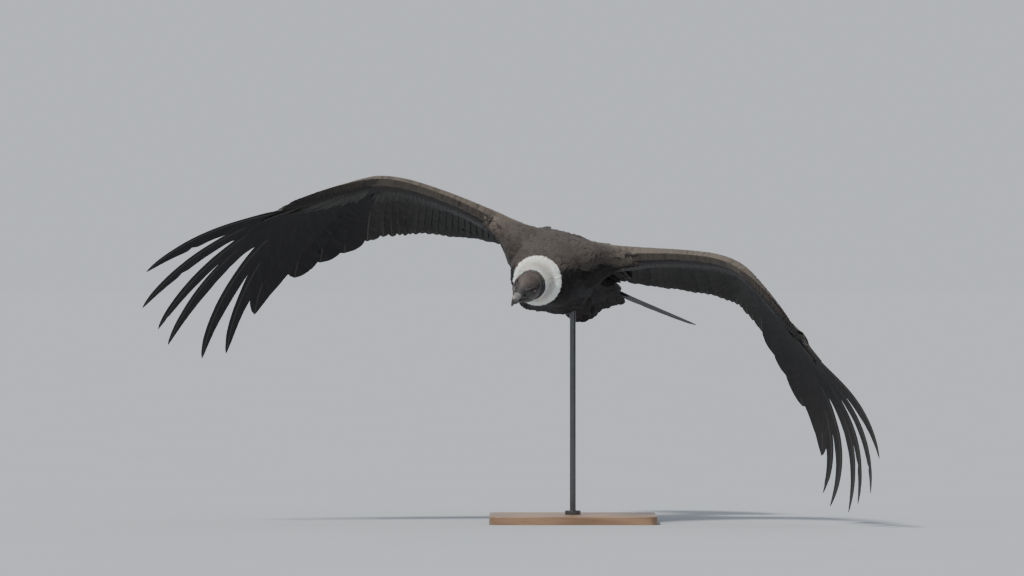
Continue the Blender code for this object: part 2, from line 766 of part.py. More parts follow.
def primary_widths(number):
    """Reach of a primary's vanes: the outer ones narrow past their middle to fingers."""
    slot = SLOT_AT[number - 1]
    ahead, behind = BROAD_VANE if slot > 1 else FINGER_VANE

    def widths(share):
        narrow = min(max((share - slot + 0.10) / SLOT_RAMP, 0.0), 1.0)
        return (spread(share, VANE_ROOT, ahead - SLOT_CUT[0] * narrow, VANE_TIP, 0.25, 0.86),
                spread(share, VANE_ROOT, behind - SLOT_CUT[1] * narrow, VANE_TIP, 0.30, 0.80))
    return widths


def make_primaries(wing):
    blades = []
    for number in range(1, 11):
        u, v, turn = primary_start(wing, number)
        bend = SABER + OUTER_SABER.get(number, 0.0)
        path = curved_path(u, v, turn, bend, PRIMARY_LENGTH[number - 1], PRIMARY_SHARES)
        drop = -PRIMARY_STEP * (number - 1)
        blades.append(blade(wing.place, path, PRIMARY_SHARES, primary_widths(number),
                            lambda share, drop=drop: drop, PRIMARY_TILT))
    return blades


def secondary_start(wing, share, back):
    """Where a feather of the arm roots, its heading, and its length to the edge."""
    u = SECONDARY_FIRST + (wing.wrist - SECONDARY_LAST - SECONDARY_FIRST) * share
    v = wing.front(u) + back
    turn = math.radians(float(np.interp(share, SECONDARY_TURN_AT, SECONDARY_TURN)))
    length = (wing.back(u) - wing.front(u) - SECONDARY_ROOT_BACK) / math.sin(turn)
    for cut, over, way in zip(SECONDARY_SHORTER, SECONDARY_SHORT_OVER, (share, 1.0 - share)):
        length *= 1.0 - cut * max(1.0 - way / over, 0.0)
    return u, v, turn, length


def make_secondaries(wing):
    blades = []
    for i in range(SECONDARIES):
        u, v, turn, length = secondary_start(wing, i / (SECONDARIES - 1), SECONDARY_ROOT_BACK)
        path = curved_path(u, v, turn, SECONDARY_BEND, length, SECONDARY_SHARES)
        blades.append(blade(wing.place, path, SECONDARY_SHARES,
                            even_widths(*SECONDARY_VANE, 0.004),
                            lambda share: 0.0, SECONDARY_TILT))
    return blades


def covert(wing, u, v, turn, length, ahead, behind, rise, drop=0.0):
    """A flat covert that rises off the wing over the first third of its length."""
    path = curved_path(u, v, turn, COVERT_BEND, length, COVERT_SHARES)
    full = COVERT_SHARES[1]
    return blade(wing.place, path, COVERT_SHARES, even_widths(ahead, behind),
                 lambda share: drop + rise[0] + (rise[1] - rise[0]) * min(share / full, 1.0),
                 COVERT_TILT, shaft=None, edge=COVERT_THICK)


def make_arm_coverts(wing):
    blades = []
    for tier in TIERS:
        for i in range(tier["count"]):
            share = (i + 0.25) / (tier["count"] - 0.5)
            u, v, turn, length = secondary_start(wing, share, tier["back"])
            blades.append(covert(wing, u, v, turn, length * tier["share"],
                                 *COVERT_VANE, tier["rise"]))
    return blades


def make_hand_coverts(wing):
    """Greater coverts over and under the roots of the primaries."""
    blades = []
    near, far = HAND_COVERT_SHARE
    ahead, inner, outer = HAND_COVERT_VANE
    for rise in HAND_COVERT_RISE:
        for number in range(1, HAND_COVERTS + 1):
            u, v, turn = primary_start(wing, number)
            x = (number - 1) / (HAND_COVERTS - 1)
            length = PRIMARY_LENGTH[number - 1] * (near + (far - near) * x)
            behind = inner + (outer - inner) * x
            blades.append(covert(wing, u, v, turn, length, ahead, behind, rise,
                                 -PRIMARY_STEP * (number - 1)))
    return blades


def make_wing(name):
    wing = Wing(name)
    arm = arm_flesh(wing)
    hand = hand_flesh(wing)
    arm.name = "wing_arm_" + name
    hand.name = "wing_hand_" + name
    plug = swollen(arm)
    wrist = swollen(hand)
    apply_boolean(arm, "UNION", make_secondaries(wing) + make_arm_coverts(wing), "MANIFOLD")
    apply_boolean(hand, "UNION", make_primaries(wing) + make_hand_coverts(wing), "MANIFOLD")
    apply_boolean(arm, "DIFFERENCE", [wrist], "MANIFOLD")
    return arm, hand, plug


# Tail

TAIL_AT = Vector((0.0, 0.262, 0.006))
TAIL_TURN = math.radians(12.0)
TAIL_LIFT = math.radians(-1.6)
TAIL_ROLL = math.radians(6.8)
TAIL_SPREAD = math.radians(53.0)
TAIL_LENGTH = 0.432
TAIL_PAIRS = 6
TAIL_STEP = 0.0024
TAIL_FIRST = math.radians(3.5)
TAIL_SHARES = (0.0, 0.22, 0.86, 0.96, 1.0)
TAIL_VANE = (0.034, 0.050)
TAIL_VANE_TIP = 0.006
TAIL_TILT = 0.03
TAIL_TOP = 0.0035
TAIL_ROOT_BACK = 0.068
# The stump that roots the tail, in rows as the torso's.
TAIL_STUMP = (
    (-0.010, 0.0, 0.0, 0.022, 0.010, 0.012),
    (0.020, 0.0, 0.0, 0.026, 0.013, 0.014),
    (0.060, 0.0, 0.0, 0.030, 0.012, 0.012),
    (0.100, 0.0, 0.0, 0.028, 0.008, 0.008),
    (0.130, 0.0, 0.0, 0.020, 0.004, 0.004),
)
# Coverts over and under the tail's root: how many a side, their reach, length, and
# heights over the tail's middle and under it.
TAIL_COVERTS = 2
TAIL_COVERT_VANE = 0.038
TAIL_COVERT_LENGTH = 0.150
TAIL_COVERT_HEIGHT = {1: 0.0105, -1: -0.0190}
TAIL_COVERT_STEP = 0.0012
# How much higher the right half of the fan lies, so that its feathers cross clear.
TAIL_HALF_RISE = 0.5 * TAIL_STEP
TAIL_COVERT_RISE = 0.0008


def tail_matrix():
    turn = (Matrix.Rotation(-TAIL_TURN, 4, "Z") @ Matrix.Rotation(TAIL_ROLL, 4, "Y")
            @ Matrix.Rotation(TAIL_LIFT, 4, "X"))
    return Matrix.Translation(TAIL_AT) @ turn


def tail_widths(ahead, behind):
    """The reach of a tail feather's vane at a share of its length."""
    def widths(share):
        return (spread(share, VANE_ROOT, ahead, TAIL_VANE_TIP),
                spread(share, VANE_ROOT, behind, TAIL_VANE_TIP))
    return widths


def make_tail():
    """The fanned tail on the stump that roots it."""
    place = tail_matrix()
    tail = body_of_sections("tail", TAIL_STUMP, 16)
    plug = swollen(tail)
    blades = []
    for side in (1, -1):
        def fan(u, v, h, side=side):
            return Vector((side * u, v, h))
        for j in range(TAIL_PAIRS):
            x = j / (TAIL_PAIRS - 1)
            turn = math.pi / 2 - (TAIL_FIRST + (TAIL_SPREAD - TAIL_FIRST) * x)
            height = TAIL_TOP - TAIL_STEP * j + (TAIL_HALF_RISE if side < 0 else 0.0)
            path = curved_path(0.004 + 0.020 * x, TAIL_ROOT_BACK, turn, math.radians(4),
                               TAIL_LENGTH - 0.010 * x - 0.058, TAIL_SHARES)
            blades.append(blade(fan, path, TAIL_SHARES, tail_widths(*TAIL_VANE),
                                lambda share, height=height: height, TAIL_TILT))
        for over in (1, -1):
            for j in range(TAIL_COVERTS):
                x = j / (TAIL_COVERTS - 1)
                turn = math.pi / 2 - (TAIL_FIRST * 3 + (TAIL_SPREAD * 0.85 - TAIL_FIRST * 3) * x)
                height = TAIL_COVERT_HEIGHT[over] - TAIL_COVERT_STEP * over * j
                height += TAIL_COVERT_RISE if side < 0 else 0.0
                path = curved_path(0.004 + 0.016 * x, TAIL_ROOT_BACK, turn, 0.0,
                                   TAIL_COVERT_LENGTH, COVERT_SHARES)
                blades.append(blade(fan, path, COVERT_SHARES,
                                    tail_widths(TAIL_COVERT_VANE, TAIL_COVERT_VANE),
                                    lambda share, height=height: height * min(1, 0.5 + share * 2),
                                    0.02 * over, shaft=None, edge=COVERT_THICK))
    apply_boolean(tail, "UNION", blades, "MANIFOLD")
    tail.data.transform(place)
    plug.data.transform(place)
    return tail, plug


# Stand

def make_base():
    mesh = bmesh.new()
    corners = []
    for cx, cy, start in ((1, 1, 0), (-1, 1, 90), (-1, -1, 180), (1, -1, 270)):
        for i in range(5):
            turn = math.radians(start + 22.5 * i)
            x = cx * (BASE_LENGTH / 2 - BASE_CORNER) + BASE_CORNER * math.cos(turn)
            y = cy * (BASE_WIDTH / 2 - BASE_CORNER) + BASE_CORNER * math.sin(turn)
            corners.append(mesh.verts.new((x, y, 0)))
    bottom = mesh.faces.new(corners)
    grown = bmesh.ops.extrude_face_region(mesh, geom=[bottom])
    top = [v for v in grown["geom"] if isinstance(v, bmesh.types.BMVert)]
    bmesh.ops.translate(mesh, vec=Vector((0, 0, BASE_THICK)), verts=top)
    bmesh.ops.recalc_face_normals(mesh, faces=mesh.faces)
    rim = [e for e in mesh.edges if all(v.co.z > BASE_THICK / 2 for v in e.verts)]
    bmesh.ops.bevel(mesh, geom=rim, offset=BASE_CHAMFER, segments=2, affect="EDGES", profile=0.5)
    return finish_mesh("stand_base", mesh)


def turned(name, profile, count):
    """A round body about the vertical axis from (radius, height) pairs."""
    rings = []
    for radius, z in profile:
        rings.append([Vector((radius * math.cos(2 * math.pi * i / count),
                              radius * math.sin(2 * math.pi * i / count), z))
                      for i in range(count)])
    return loft(name, rings)


def make_rod():
    foot = BASE_THICK + GAP
    return turned("stand_rod", (
        (COLLAR_RADIUS, foot), (COLLAR_RADIUS, foot + COLLAR_HEIGHT - 0.002),
        (COLLAR_RADIUS - 0.002, foot + COLLAR_HEIGHT), (ROD_RADIUS, foot + COLLAR_HEIGHT),
        (ROD_RADIUS, ROD_TOP - 0.002), (ROD_RADIUS - 0.002, ROD_TOP)), 16)


def bird_matrix():
    nose = Matrix(((1, 0, 0), (0, math.cos(PITCH), math.sin(PITCH)),
                   (0, -math.sin(PITCH), math.cos(PITCH)))).to_4x4()
    bank = Matrix(((math.cos(BANK), 0, math.sin(BANK)), (0, 1, 0),
                   (-math.sin(BANK), 0, math.cos(BANK)))).to_4x4()
    yaw = Matrix(((math.cos(YAW), math.sin(YAW), 0), (-math.sin(YAW), math.cos(YAW), 0),
                  (0, 0, 1))).to_4x4()
    return Matrix.Translation(BODY_AT) @ yaw @ bank @ nose


def main():
    clear_scene()
    bird = bpy.data.objects.new("bird", None)
    bpy.context.scene.collection.objects.link(bird)
    bird.matrix_world = bird_matrix()

    base = make_base()
    rod = make_rod()
    torso = body_of_sections("torso", TORSO, TORSO_RING, TORSO_SQUARE)
    neck = tube("neck", NECK, NECK_RING)
    ruff = make_ruff()
    head, upper, lower, eyes = make_head()
    tail, tail_plug = make_tail()
    legs = [make_leg("left", 1), make_leg("right", -1)]
    wings = [make_wing("left"), make_wing("right")]

    apply_boolean(ruff, "DIFFERENCE", [swollen(neck), swollen(torso)])
    apply_boolean(neck, "DIFFERENCE", [swollen(head)])
    socket = evaluated_copy(rod, "rod_cutter")
    socket.data.transform(bird.matrix_world.inverted())
    sockets = [swollen(neck), tail_plug, wings[0][2], wings[1][2]]
    sockets += [swollen(leg[0]) for leg in legs]
    for cutter in sockets:
        apply_boolean(torso, "DIFFERENCE", [cutter])
    grown = swollen(socket)
    bpy.data.objects.remove(socket, do_unlink=True)
    apply_boolean(torso, "DIFFERENCE", [grown])

    nodes = [torso, neck, ruff, head, upper, lower, tail] + eyes
    paint(torso, "mantle_plumage", MANTLE, 0.8)
    paint(neck, "neck_skin", SKIN, 0.6)
    paint(ruff, "ruff_down", DOWN, 0.9)
    paint(head, "head_skin", SKIN, 0.55)
    paint(upper, "upper_bill_horn", HORN, 0.4)
    paint(lower, "lower_bill_horn", HORN, 0.4)
    paint(tail, "tail_plumage", PLUMAGE, 0.7)
    for eye in eyes:
        paint(eye, eye.name + "_glass", IRIS, 0.1)
    for thigh, tarsus, foot, claws in legs:
        paint(thigh, thigh.name + "_plumage", PLUMAGE, 0.8)
        paint(tarsus, tarsus.name + "_scales", SCALE, 0.6)
        paint(foot, foot.name + "_scales", SCALE, 0.6)
        for claw in claws:
            paint(claw, claw.name + "_horn", STEEL, 0.4)
        nodes += [thigh, tarsus, foot] + claws
    for arm, hand, plug in wings:
        paint(arm, arm.name + "_plumage", PLUMAGE, 0.7)
        paint(hand, hand.name + "_plumage", PLUMAGE, 0.7)
        nodes += [arm, hand]
    paint(base, "base_wood", OAK, 0.5)
    paint(rod, "rod_steel", STEEL, 0.35, 0.9)
    for item in nodes:
        item.parent = bird


main()
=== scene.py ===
"""Looks of the life-size Andean condor: skin, feathers, down, head, feet and stand."""
import math

import bmesh
import bpy
import numpy as np
from mathutils import Matrix, Vector, noise


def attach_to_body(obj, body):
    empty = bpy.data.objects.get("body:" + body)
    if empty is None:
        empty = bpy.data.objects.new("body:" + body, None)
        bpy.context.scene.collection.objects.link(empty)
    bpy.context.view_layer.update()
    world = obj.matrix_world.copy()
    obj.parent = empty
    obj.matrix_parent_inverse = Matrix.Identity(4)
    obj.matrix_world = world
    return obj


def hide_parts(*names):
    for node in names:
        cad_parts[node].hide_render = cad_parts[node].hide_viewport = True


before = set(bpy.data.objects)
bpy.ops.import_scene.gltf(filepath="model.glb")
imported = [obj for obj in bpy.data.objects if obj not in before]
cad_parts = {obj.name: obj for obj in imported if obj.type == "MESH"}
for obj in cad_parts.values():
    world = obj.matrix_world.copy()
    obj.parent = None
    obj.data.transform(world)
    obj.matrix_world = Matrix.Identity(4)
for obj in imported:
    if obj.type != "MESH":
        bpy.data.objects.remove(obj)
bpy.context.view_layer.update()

FULL_TURN = 2 * math.pi
SIDES = (1.0, -1.0)
MIRROR = {side: np.array([side, 1.0, 1.0]) for side in SIDES}
UP = np.array([0.0, 0.0, 1.0])
SEED = 20

# Places and sizes that the solids have too.
YAW = math.radians(11.0)
PITCH = math.radians(7.6)
BANK = math.radians(14.2)
BODY_AT = Vector((-0.036, 0.045, 0.790))
SHOULDER = Vector((0.105, -0.10, 0.060))
ARM = 0.49
HAND = 0.24
ARM_CHORDS = (0.430, 0.438, 0.376)
ARM_CHORD_AT = (0.0, 0.25, 0.50)
PATAGIUM = 0.025
CAMBER = (0.035, 0.020, 0.010)
CAMBER_AT = (0.45, 0.80, 1.20)
CHORD_SCALE = 0.45
TWIST_AT = (0.0, 0.45, 1.0)
BEND_AT = (0.0, 0.18, 0.36, 0.50, 0.70, 0.95, 1.30)
BEND_STEPS = 271
BEND_BLUR = 31
POSTURE = {
    "right": {"side": -1, "bend": (11, 6, 0, -34, -31.5, -43, -59),
              "arm": 23.4, "hand": -6.8, "twist": (22.8, 22.3, 29)},
    "left": {"side": 1, "bend": (7, 10, 5.5, -30, -36, -34.5, -74),
             "arm": 14.4, "hand": -8.1, "twist": (19, 15.6, 26.6)},
}
PRIMARIES = 10
PRIMARY_TURN = (71, 63, 55, 45, 41.4, 35.5, 24.5, 18.8, 6.8, -6.6)
PRIMARY_LENGTH = (0.370, 0.390, 0.440, 0.580, 0.731, 0.747, 0.715, 0.659, 0.612, 0.516)
PRIMARY_REST_SWEEP = 8.0
PRIMARY_STEP = 0.0024
PRIMARY_ROOT_BACK = 0.025
PRIMARY_TILT = 0.05
SLOT_AT = (2.0, 2.0, 2.0, 2.0, 0.66, 0.48, 0.38, 0.42, 0.38, 0.28)
BROAD_VANE = (0.030, 0.060)
FINGER_VANE = (0.0170, 0.049)
SLOT_CUT = (0.004, 0.017)
# Per primary from P1: more vane in front and behind, where its tip sets in, how pointed it is.
MORE_AHEAD = (0.010, 0.010, 0.012, 0.002, 0.0, 0.0, -0.003, 0.0, -0.002, -0.007)
MORE_BEHIND = (0.002, 0.004, 0.006, 0.020, 0.0, 0.0, 0.0, -0.007, -0.003, 0.0)
TIP_FROM = (0.84, 0.82, 0.80, 0.58, 0.62, 0.62, 0.62, 0.64, 0.64, 0.64)
POINTED = (0.0, 0.10, 0.45, 0.90, 0.80, 0.80, 0.80, 0.80, 0.80, 0.80)
SABER = math.radians(16.0)
OUTER_SABER = {9: math.radians(4.0), 10: math.radians(6.0)}
SECONDARY_FIRST = 0.058
SECONDARY_LAST = 0.014
SECONDARY_ROOT_BACK = 0.085
SECONDARY_TURN = (95, 91, 85, 75, 63)
SECONDARY_TURN_AT = (0, 0.3, 0.6, 0.85, 1.0)
SECONDARY_VANE = (0.0175, 0.030)
SECONDARY_TILT = 0.10

# The camera, in the photograph's frame.
CAMERA_OFFSET = Vector((-0.146, -20.48, -0.087))
CAMERA_LENS = 240.0


def smooth(x):
    """A soft step from 0 to 1 while x goes from 0 to 1."""
    x = np.clip(x, 0.0, 1.0)
    return x * x * (3 - 2 * x)


def bird_matrix():
    """The bird's frame in that of the solids: its nose raised, banked, turned, then moved."""
    nose = Matrix(((1, 0, 0), (0, math.cos(PITCH), math.sin(PITCH)),
                   (0, -math.sin(PITCH), math.cos(PITCH)))).to_4x4()
    bank = Matrix(((math.cos(BANK), 0, math.sin(BANK)), (0, 1, 0),
                   (-math.sin(BANK), 0, math.cos(BANK)))).to_4x4()
    yaw = Matrix(((math.cos(YAW), math.sin(YAW), 0), (-math.sin(YAW), math.cos(YAW), 0),
                  (0, 0, 1))).to_4x4()
    return Matrix.Translation(BODY_AT) @ yaw @ bank @ nose


BIRD_ROWS = np.array(bird_matrix())
WORLD_TO_BIRD = np.linalg.inv(BIRD_ROWS)


def moved(points, rows):
    """Points through the rows of a matrix."""
    return points @ rows[:3, :3].T + rows[:3, 3]


def to_world(points):
    """Points of the bird's own frame, in the frame of the solids."""
    return moved(np.asarray(points, float).reshape(-1, 3), BIRD_ROWS)


def unit(rows):
    return rows / np.maximum(np.linalg.norm(rows, axis=-1, keepdims=True), 1e-9)


def ring_turns(count):
    return FULL_TURN * np.arange(count) / count


def circle(side, up, turn):
    """Directions at turns round the plane of side and up."""
    return side * np.cos(turn)[:, None] + up * np.sin(turn)[:, None]


def squared(turn, power):
    """Cosine and sine of turns, pushed outward to a squarer oval."""
    c, s = np.cos(turn), np.sin(turn)
    return np.sign(c) * np.abs(c) ** (2 / power), np.sign(s) * np.abs(s) ** (2 / power)


# Wing plan

class Wing:
    """One wing's flat plan, and the bent and twisted surface that it is laid on."""

    def __init__(self, name):
        held = POSTURE[name]
        self.name = name
        self.side = held["side"]
        self.arm_sweep = math.radians(held["arm"])
        self.hand_sweep = math.radians(held["hand"])
        self.twist = np.radians(held["twist"])
        self.wrist = ARM * math.cos(self.arm_sweep)
        self.hand = HAND * math.cos(self.hand_sweep)
        self.reach = np.linspace(0.0, 1.35, BEND_STEPS)
        step = self.reach[1] - self.reach[0]
        rise = np.interp(self.reach, BEND_AT, np.radians(held["bend"]))
        rise = np.pad(rise, BEND_BLUR // 2, mode="edge")
        self.rise = np.convolve(rise, np.ones(BEND_BLUR) / BEND_BLUR, "valid")
        self.across, self.upward = [
            np.append(0.0, np.cumsum((way(self.rise[1:]) + way(self.rise[:-1])) * step / 2))
            for way in (np.cos, np.sin)]

    def front(self, u):
        x = u / self.wrist
        arm = (ARM * math.sin(self.arm_sweep) * (1 - x)
               + PATAGIUM * np.sin(math.pi * np.clip(x, 0.0, 1.0)))
        hand = (u - self.wrist) * math.tan(self.hand_sweep)
        return np.where(u < self.wrist, arm, hand)

    def back(self, u):
        return np.interp(u, ARM_CHORD_AT, ARM_CHORDS)

    def place(self, u, v, h):
        """Points of the bird that are at (u, v) of the flat wing, h above it."""
        u, v, h = np.broadcast_arrays(u, v, h)
        front = self.front(u)
        behind = v - front
        twist = np.interp(u, TWIST_AT, self.twist)
        crown = np.interp(u, CAMBER_AT, CAMBER)
        x = np.clip(behind / CHORD_SCALE, 0.0, 1.0)
        lift = crown * 4 * x * (1 - x) - behind * np.sin(twist) + h
        rise = np.interp(u, self.reach, self.rise)
        out = np.interp(u, self.reach, self.across) + np.minimum(u, 0.0)
        out = out - np.sin(rise) * lift
        up = np.interp(u, self.reach, self.upward) + np.cos(rise) * lift
        run = front + behind * np.cos(twist) - self.front(0.0)
        return np.stack([self.side * (SHOULDER.x + out), SHOULDER.y + run,
                         SHOULDER.z + up], -1)


WINGS = {name: Wing(name) for name in POSTURE}


# Meshes from arrays

SCENE = bpy.context.scene


def in_scene(name, data):
    item = bpy.data.objects.new(name, data)
    SCENE.collection.objects.link(item)
    return item


def new_mesh(name, points, faces):
    """A smooth object from points and rows of corner numbers, all rows of one length."""
    faces = np.asarray(faces, np.int32)
    data = bpy.data.meshes.new(name)
    data.vertices.add(len(points))
    data.vertices.foreach_set("co", np.asarray(points, np.float32).ravel())
    data.loops.add(faces.size)
    data.loops.foreach_set("vertex_index", faces.ravel())
    data.polygons.add(len(faces))
    starts = np.arange(0, faces.size, faces.shape[1], dtype=np.int32)
    data.polygons.foreach_set("loop_start", starts)
    data.update(calc_edges=True)
    data.shade_smooth()
    return in_scene(name, data)


def set_uv(item, per_point):
    """The map that colours are baked to, whose corners take the values of their points."""
    data = item.data
    corners = np.zeros(len(data.loops), np.int32)
    data.loops.foreach_get("vertex_index", corners)
    layer = data.uv_layers.new(name="OFBake")
    layer.uv.foreach_set("vector", np.asarray(per_point, np.float32)[corners].ravel())


def set_marks(item, values):
    """The three marks of each point, which the materials read."""
    layer = item.data.attributes.new("marks", "FLOAT_COLOR", "POINT")
    rows = np.ones((len(values), 4), np.float32)
    rows[:, :3] = values
    layer.data.foreach_set("color", rows.ravel())


def mark_along(item, stations, ring):
    """A first mark that goes from 0 at a tube's root to 1 at its tip."""
    marks = np.zeros((stations, ring, 3))
    marks[..., 0] = np.linspace(0.0, 1.0, stations)[:, None]
    set_marks(item, marks.reshape(-1, 3))


def tube_corners(stations, ring, flip):
    """(Station, place on the ring) of the corners of a closed tube's quads, ends capped."""
    rows = [((s, k), (s, k + 1), (s + 1, k + 1), (s + 1, k))
            for s in range(stations - 1) for k in range(ring)]
    last = stations - 1
    for k in range(ring // 2 - 1):
        a, b, c, d = k, k + 1, ring - 2 - k, ring - 1 - k
        rows.append(((0, a), (0, d), (0, c), (0, b)))
        rows.append(((last, a), (last, b), (last, c), (last, d)))
    rows = np.array(rows)
    return rows[:, ::-1] if flip else rows


def tube_faces(stations, ring, count=1, flip=False):
    """Quads of count closed tubes, each of stations rings of ring points."""
    rows = tube_corners(stations, ring, flip)
    step = np.arange(count) * (stations * ring)
    flat = rows[..., 0] * ring + rows[..., 1] % ring
    return (flat[None] + step[:, None, None]).reshape(-1, 4)


def attach(item, material, slot, *nodes):
    """Material, the body that carries it, and the solids it stands for; slot is not used."""
    item.data.materials.clear()
    item.data.materials.append(material)
    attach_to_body(item, "root")
    if nodes:
        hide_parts(*nodes)


# Materials

class Shader:
    """A Principled material and short calls that add nodes to it."""

    def __init__(self, name, roughness, **fixed):
        self.material = bpy.data.materials.new(name)
        self.material.use_nodes = True
        self.tree = self.material.node_tree
        self.principled = self.tree.nodes["Principled BSDF"]
        self.set("Roughness", roughness)
        for key, value in fixed.items():
            self.set(key.replace("_", " "), value)

    def put(self, socket, value):
        """Link a node's output to a socket, or set the socket; a colour has three numbers."""
        if hasattr(value, "is_output"):
            self.tree.links.new(value, socket)
        else:
            socket.default_value = (*value, 1.0) if socket.type == "RGBA" else value

    def set(self, name, value):
        self.put(self.principled.inputs[name], value)

    def node(self, kind, inputs, output=0, **settings):
        made = self.tree.nodes.new(kind)
        for key, value in settings.items():
            setattr(made, key, value)
        for key, value in inputs.items():
            self.put(made.inputs[key], value)
        return made.outputs[output]

    def math(self, operation, *values):
        return self.node("ShaderNodeMath", dict(enumerate(values)), operation=operation)

    def times(self, a, b):
        return self.math("MULTIPLY", a, b)

    def line(self, value, gain, base):
        return self.math("MULTIPLY_ADD", value, gain, base)

    def ramp(self, value, low, high, to_low=0.0, to_high=1.0):
        return self.node("ShaderNodeMapRange", {"Value": value, "From Min": low, "From Max": high,
                                                "To Min": to_low, "To Max": to_high},
                         interpolation_type="SMOOTHSTEP")

    def mix(self, share, a, b):
        return self.node("ShaderNodeMix", {0: share, 6: a, 7: b}, 2, data_type="RGBA")

    def noise(self, vector, scale, detail=4.0, roughness=0.55):
        return self.node("ShaderNodeTexNoise", {"Vector": vector, "Scale": scale,
                                                "Detail": detail, "Roughness": roughness})

    def vector(self, *values):
        return self.node("ShaderNodeCombineXYZ", dict(enumerate(values)))

    def stretched(self, scale):
        return self.node("ShaderNodeMapping", {"Vector": self.place(), "Scale": scale})

    def place(self):
        return self.node("ShaderNodeTexCoord", {}, "Object")

    def marks(self):
        """The three marks, point by point."""
        marks = self.node("ShaderNodeAttribute", {}, "Color", attribute_name="marks")
        return self.node("ShaderNodeSeparateColor", {0: marks}).node.outputs[:3]

    def vane(self):
        """How far across a vane from its shaft, and how far along it."""
        at = self.node("ShaderNodeUVMap", {}, uv_map="vane")
        split = self.node("ShaderNodeSeparateXYZ", {0: at}).node.outputs
        return self.line(split[0], 2.0, -1.0), split[1]

    def finish(self, colour, rough=None, bump=None):
        """Set colour, roughness and a bump of (height, strength, distance)."""
        self.set("Base Color", colour)
        if rough is not None:
            self.set("Roughness", rough)
        if bump:
            inputs = dict(zip(("Height", "Strength", "Distance"), bump))
            self.set("Normal", self.node("ShaderNodeBump", inputs))
        return self.material


def shade(colour, factor):
    return tuple(c * factor for c in colour)


def feather_material(name, dark, light, edge, barbs, pale=None, brown=None, shaft=None,
                     edge_share=0.5, specular=0.22):
    """A feather: barbs aslant from its shaft, worn paler edges, its own chance shade, and painted
    sunlit brown.
    """
    s = Shader(name, 0.62, Sheen_Weight=0.02, Sheen_Roughness=0.5, Specular_IOR_Level=specular)
    side, along = s.vane()
    across = s.math("ABSOLUTE", side)
    chance, paleness, brownness = s.marks()
    slant = s.line(across, -0.09, along)
    fine = s.noise(s.vector(s.times(slant, barbs), s.times(side, 1.2), s.times(chance, 37.0)),
                   1.0, 3.0, 0.6)
    patch = s.noise(s.vector(s.times(slant, barbs * 0.12), s.times(side, 0.8),
                             s.times(chance, 91.0)), 1.0, 2.0)
    body = s.mix(s.line(fine, 0.6, s.times(chance, 0.5)), dark, light)
    body = s.mix(s.ramp(patch, 0.42, 0.68, 0.0, 0.45), body, edge)
    # The brown marks are painted sunlight on lit feathers, with paler brown edges there; on thighs
    # and tail coverts a faint even brown is the feathers' own tint.
    if brown:
        brown_tint_and_painted_sun = s.mix(fine, shade(brown, 0.62), brown)
        body = s.mix(s.times(brownness, 0.92), body, brown_tint_and_painted_sun)
        edge = s.mix(brownness, edge, shade(brown, 1.55))
    # pale is the real silver of upper webs, and on the mantle a painted highlight along lit edges.
    if pale:
        body = s.mix(paleness, body, s.mix(fine, pale, shade(pale, 0.86)))
    rim = s.math("MAXIMUM", s.ramp(across, 0.80, 1.0), s.ramp(along, 0.90, 1.0))
    body = s.mix(s.times(rim, edge_share), body, edge)
    if shaft:
        body = s.mix(s.ramp(across, 0.10, 0.035), body, shaft)
    ridge = s.math("ADD", fine, s.ramp(across, 0.10, 0.02, 0.0, 1.2))
    return s.finish(body, s.line(fine, 0.2, 0.52), (ridge, 0.35, 0.0008))


def down_material():
    """White down, its chance shade, and a root painted grey as shade."""
    s = Shader("ruff_down", 0.95, Sheen_Weight=0.5, Sheen_Roughness=0.6, Subsurface_Weight=0.30,
               Subsurface_Scale=0.006)
    chance, paleness, _ = s.marks()
    spot = s.noise(s.place(), 260.0, 5.0, 0.65)
    white = s.mix(spot, (0.84, 0.80, 0.74), (0.98, 0.95, 0.89))
    white = s.mix(s.times(chance, 0.25), white, (0.88, 0.84, 0.76))
    # Painted shade: each tuft turns grey towards its root.
    white = s.mix(s.ramp(paleness, 0.35, 0.0, 0.0, 0.55), white, (0.34, 0.32, 0.30))
    return s.finish(white, None, (spot, 0.3, 0.001))


def skin_material():
    """Bare skin: dark grey, with pits, painted shade in creases and hollows, a reddish brown crown
    and greyer cheeks.
    """
    s = Shader("bare_skin", 0.55, Specular_IOR_Level=0.4, Subsurface_Weight=0.06,
               Subsurface_Scale=0.003)
    crease_shade, brown, grey = s.marks()
    place = s.place()
    fine = s.noise(place, 900.0, 6.0, 0.65)
    broad = s.noise(place, 120.0, 4.0, 0.6)
    base = s.mix(broad, (0.024, 0.021, 0.021), (0.062, 0.055, 0.053))
    base = s.mix(s.times(brown, s.ramp(broad, 0.2, 0.7, 0.55, 1.0)), base, (0.072, 0.056, 0.047))
    base = s.mix(s.times(grey, 0.7), base, (0.135, 0.128, 0.124))
    # Painted shade: the crease mark darkens creases, hollows and the skin between feathers, and
    # dulls their gloss.
    base = s.mix(s.times(crease_shade, 0.8), base, (0.014, 0.012, 0.012))
    base = s.mix(s.ramp(fine, 0.55, 0.75, 0.0, 0.5), base, (0.030, 0.026, 0.026))
    s.set("Specular IOR Level", s.line(crease_shade, -0.4, 0.4))
    cells = s.node("ShaderNodeTexVoronoi", {"Vector": place, "Scale": 650.0})
    pits = s.math("ADD", s.times(cells, 0.6), fine)
    return s.finish(base, s.line(fine, 0.25, 0.42), (pits, 0.45, 0.0006))


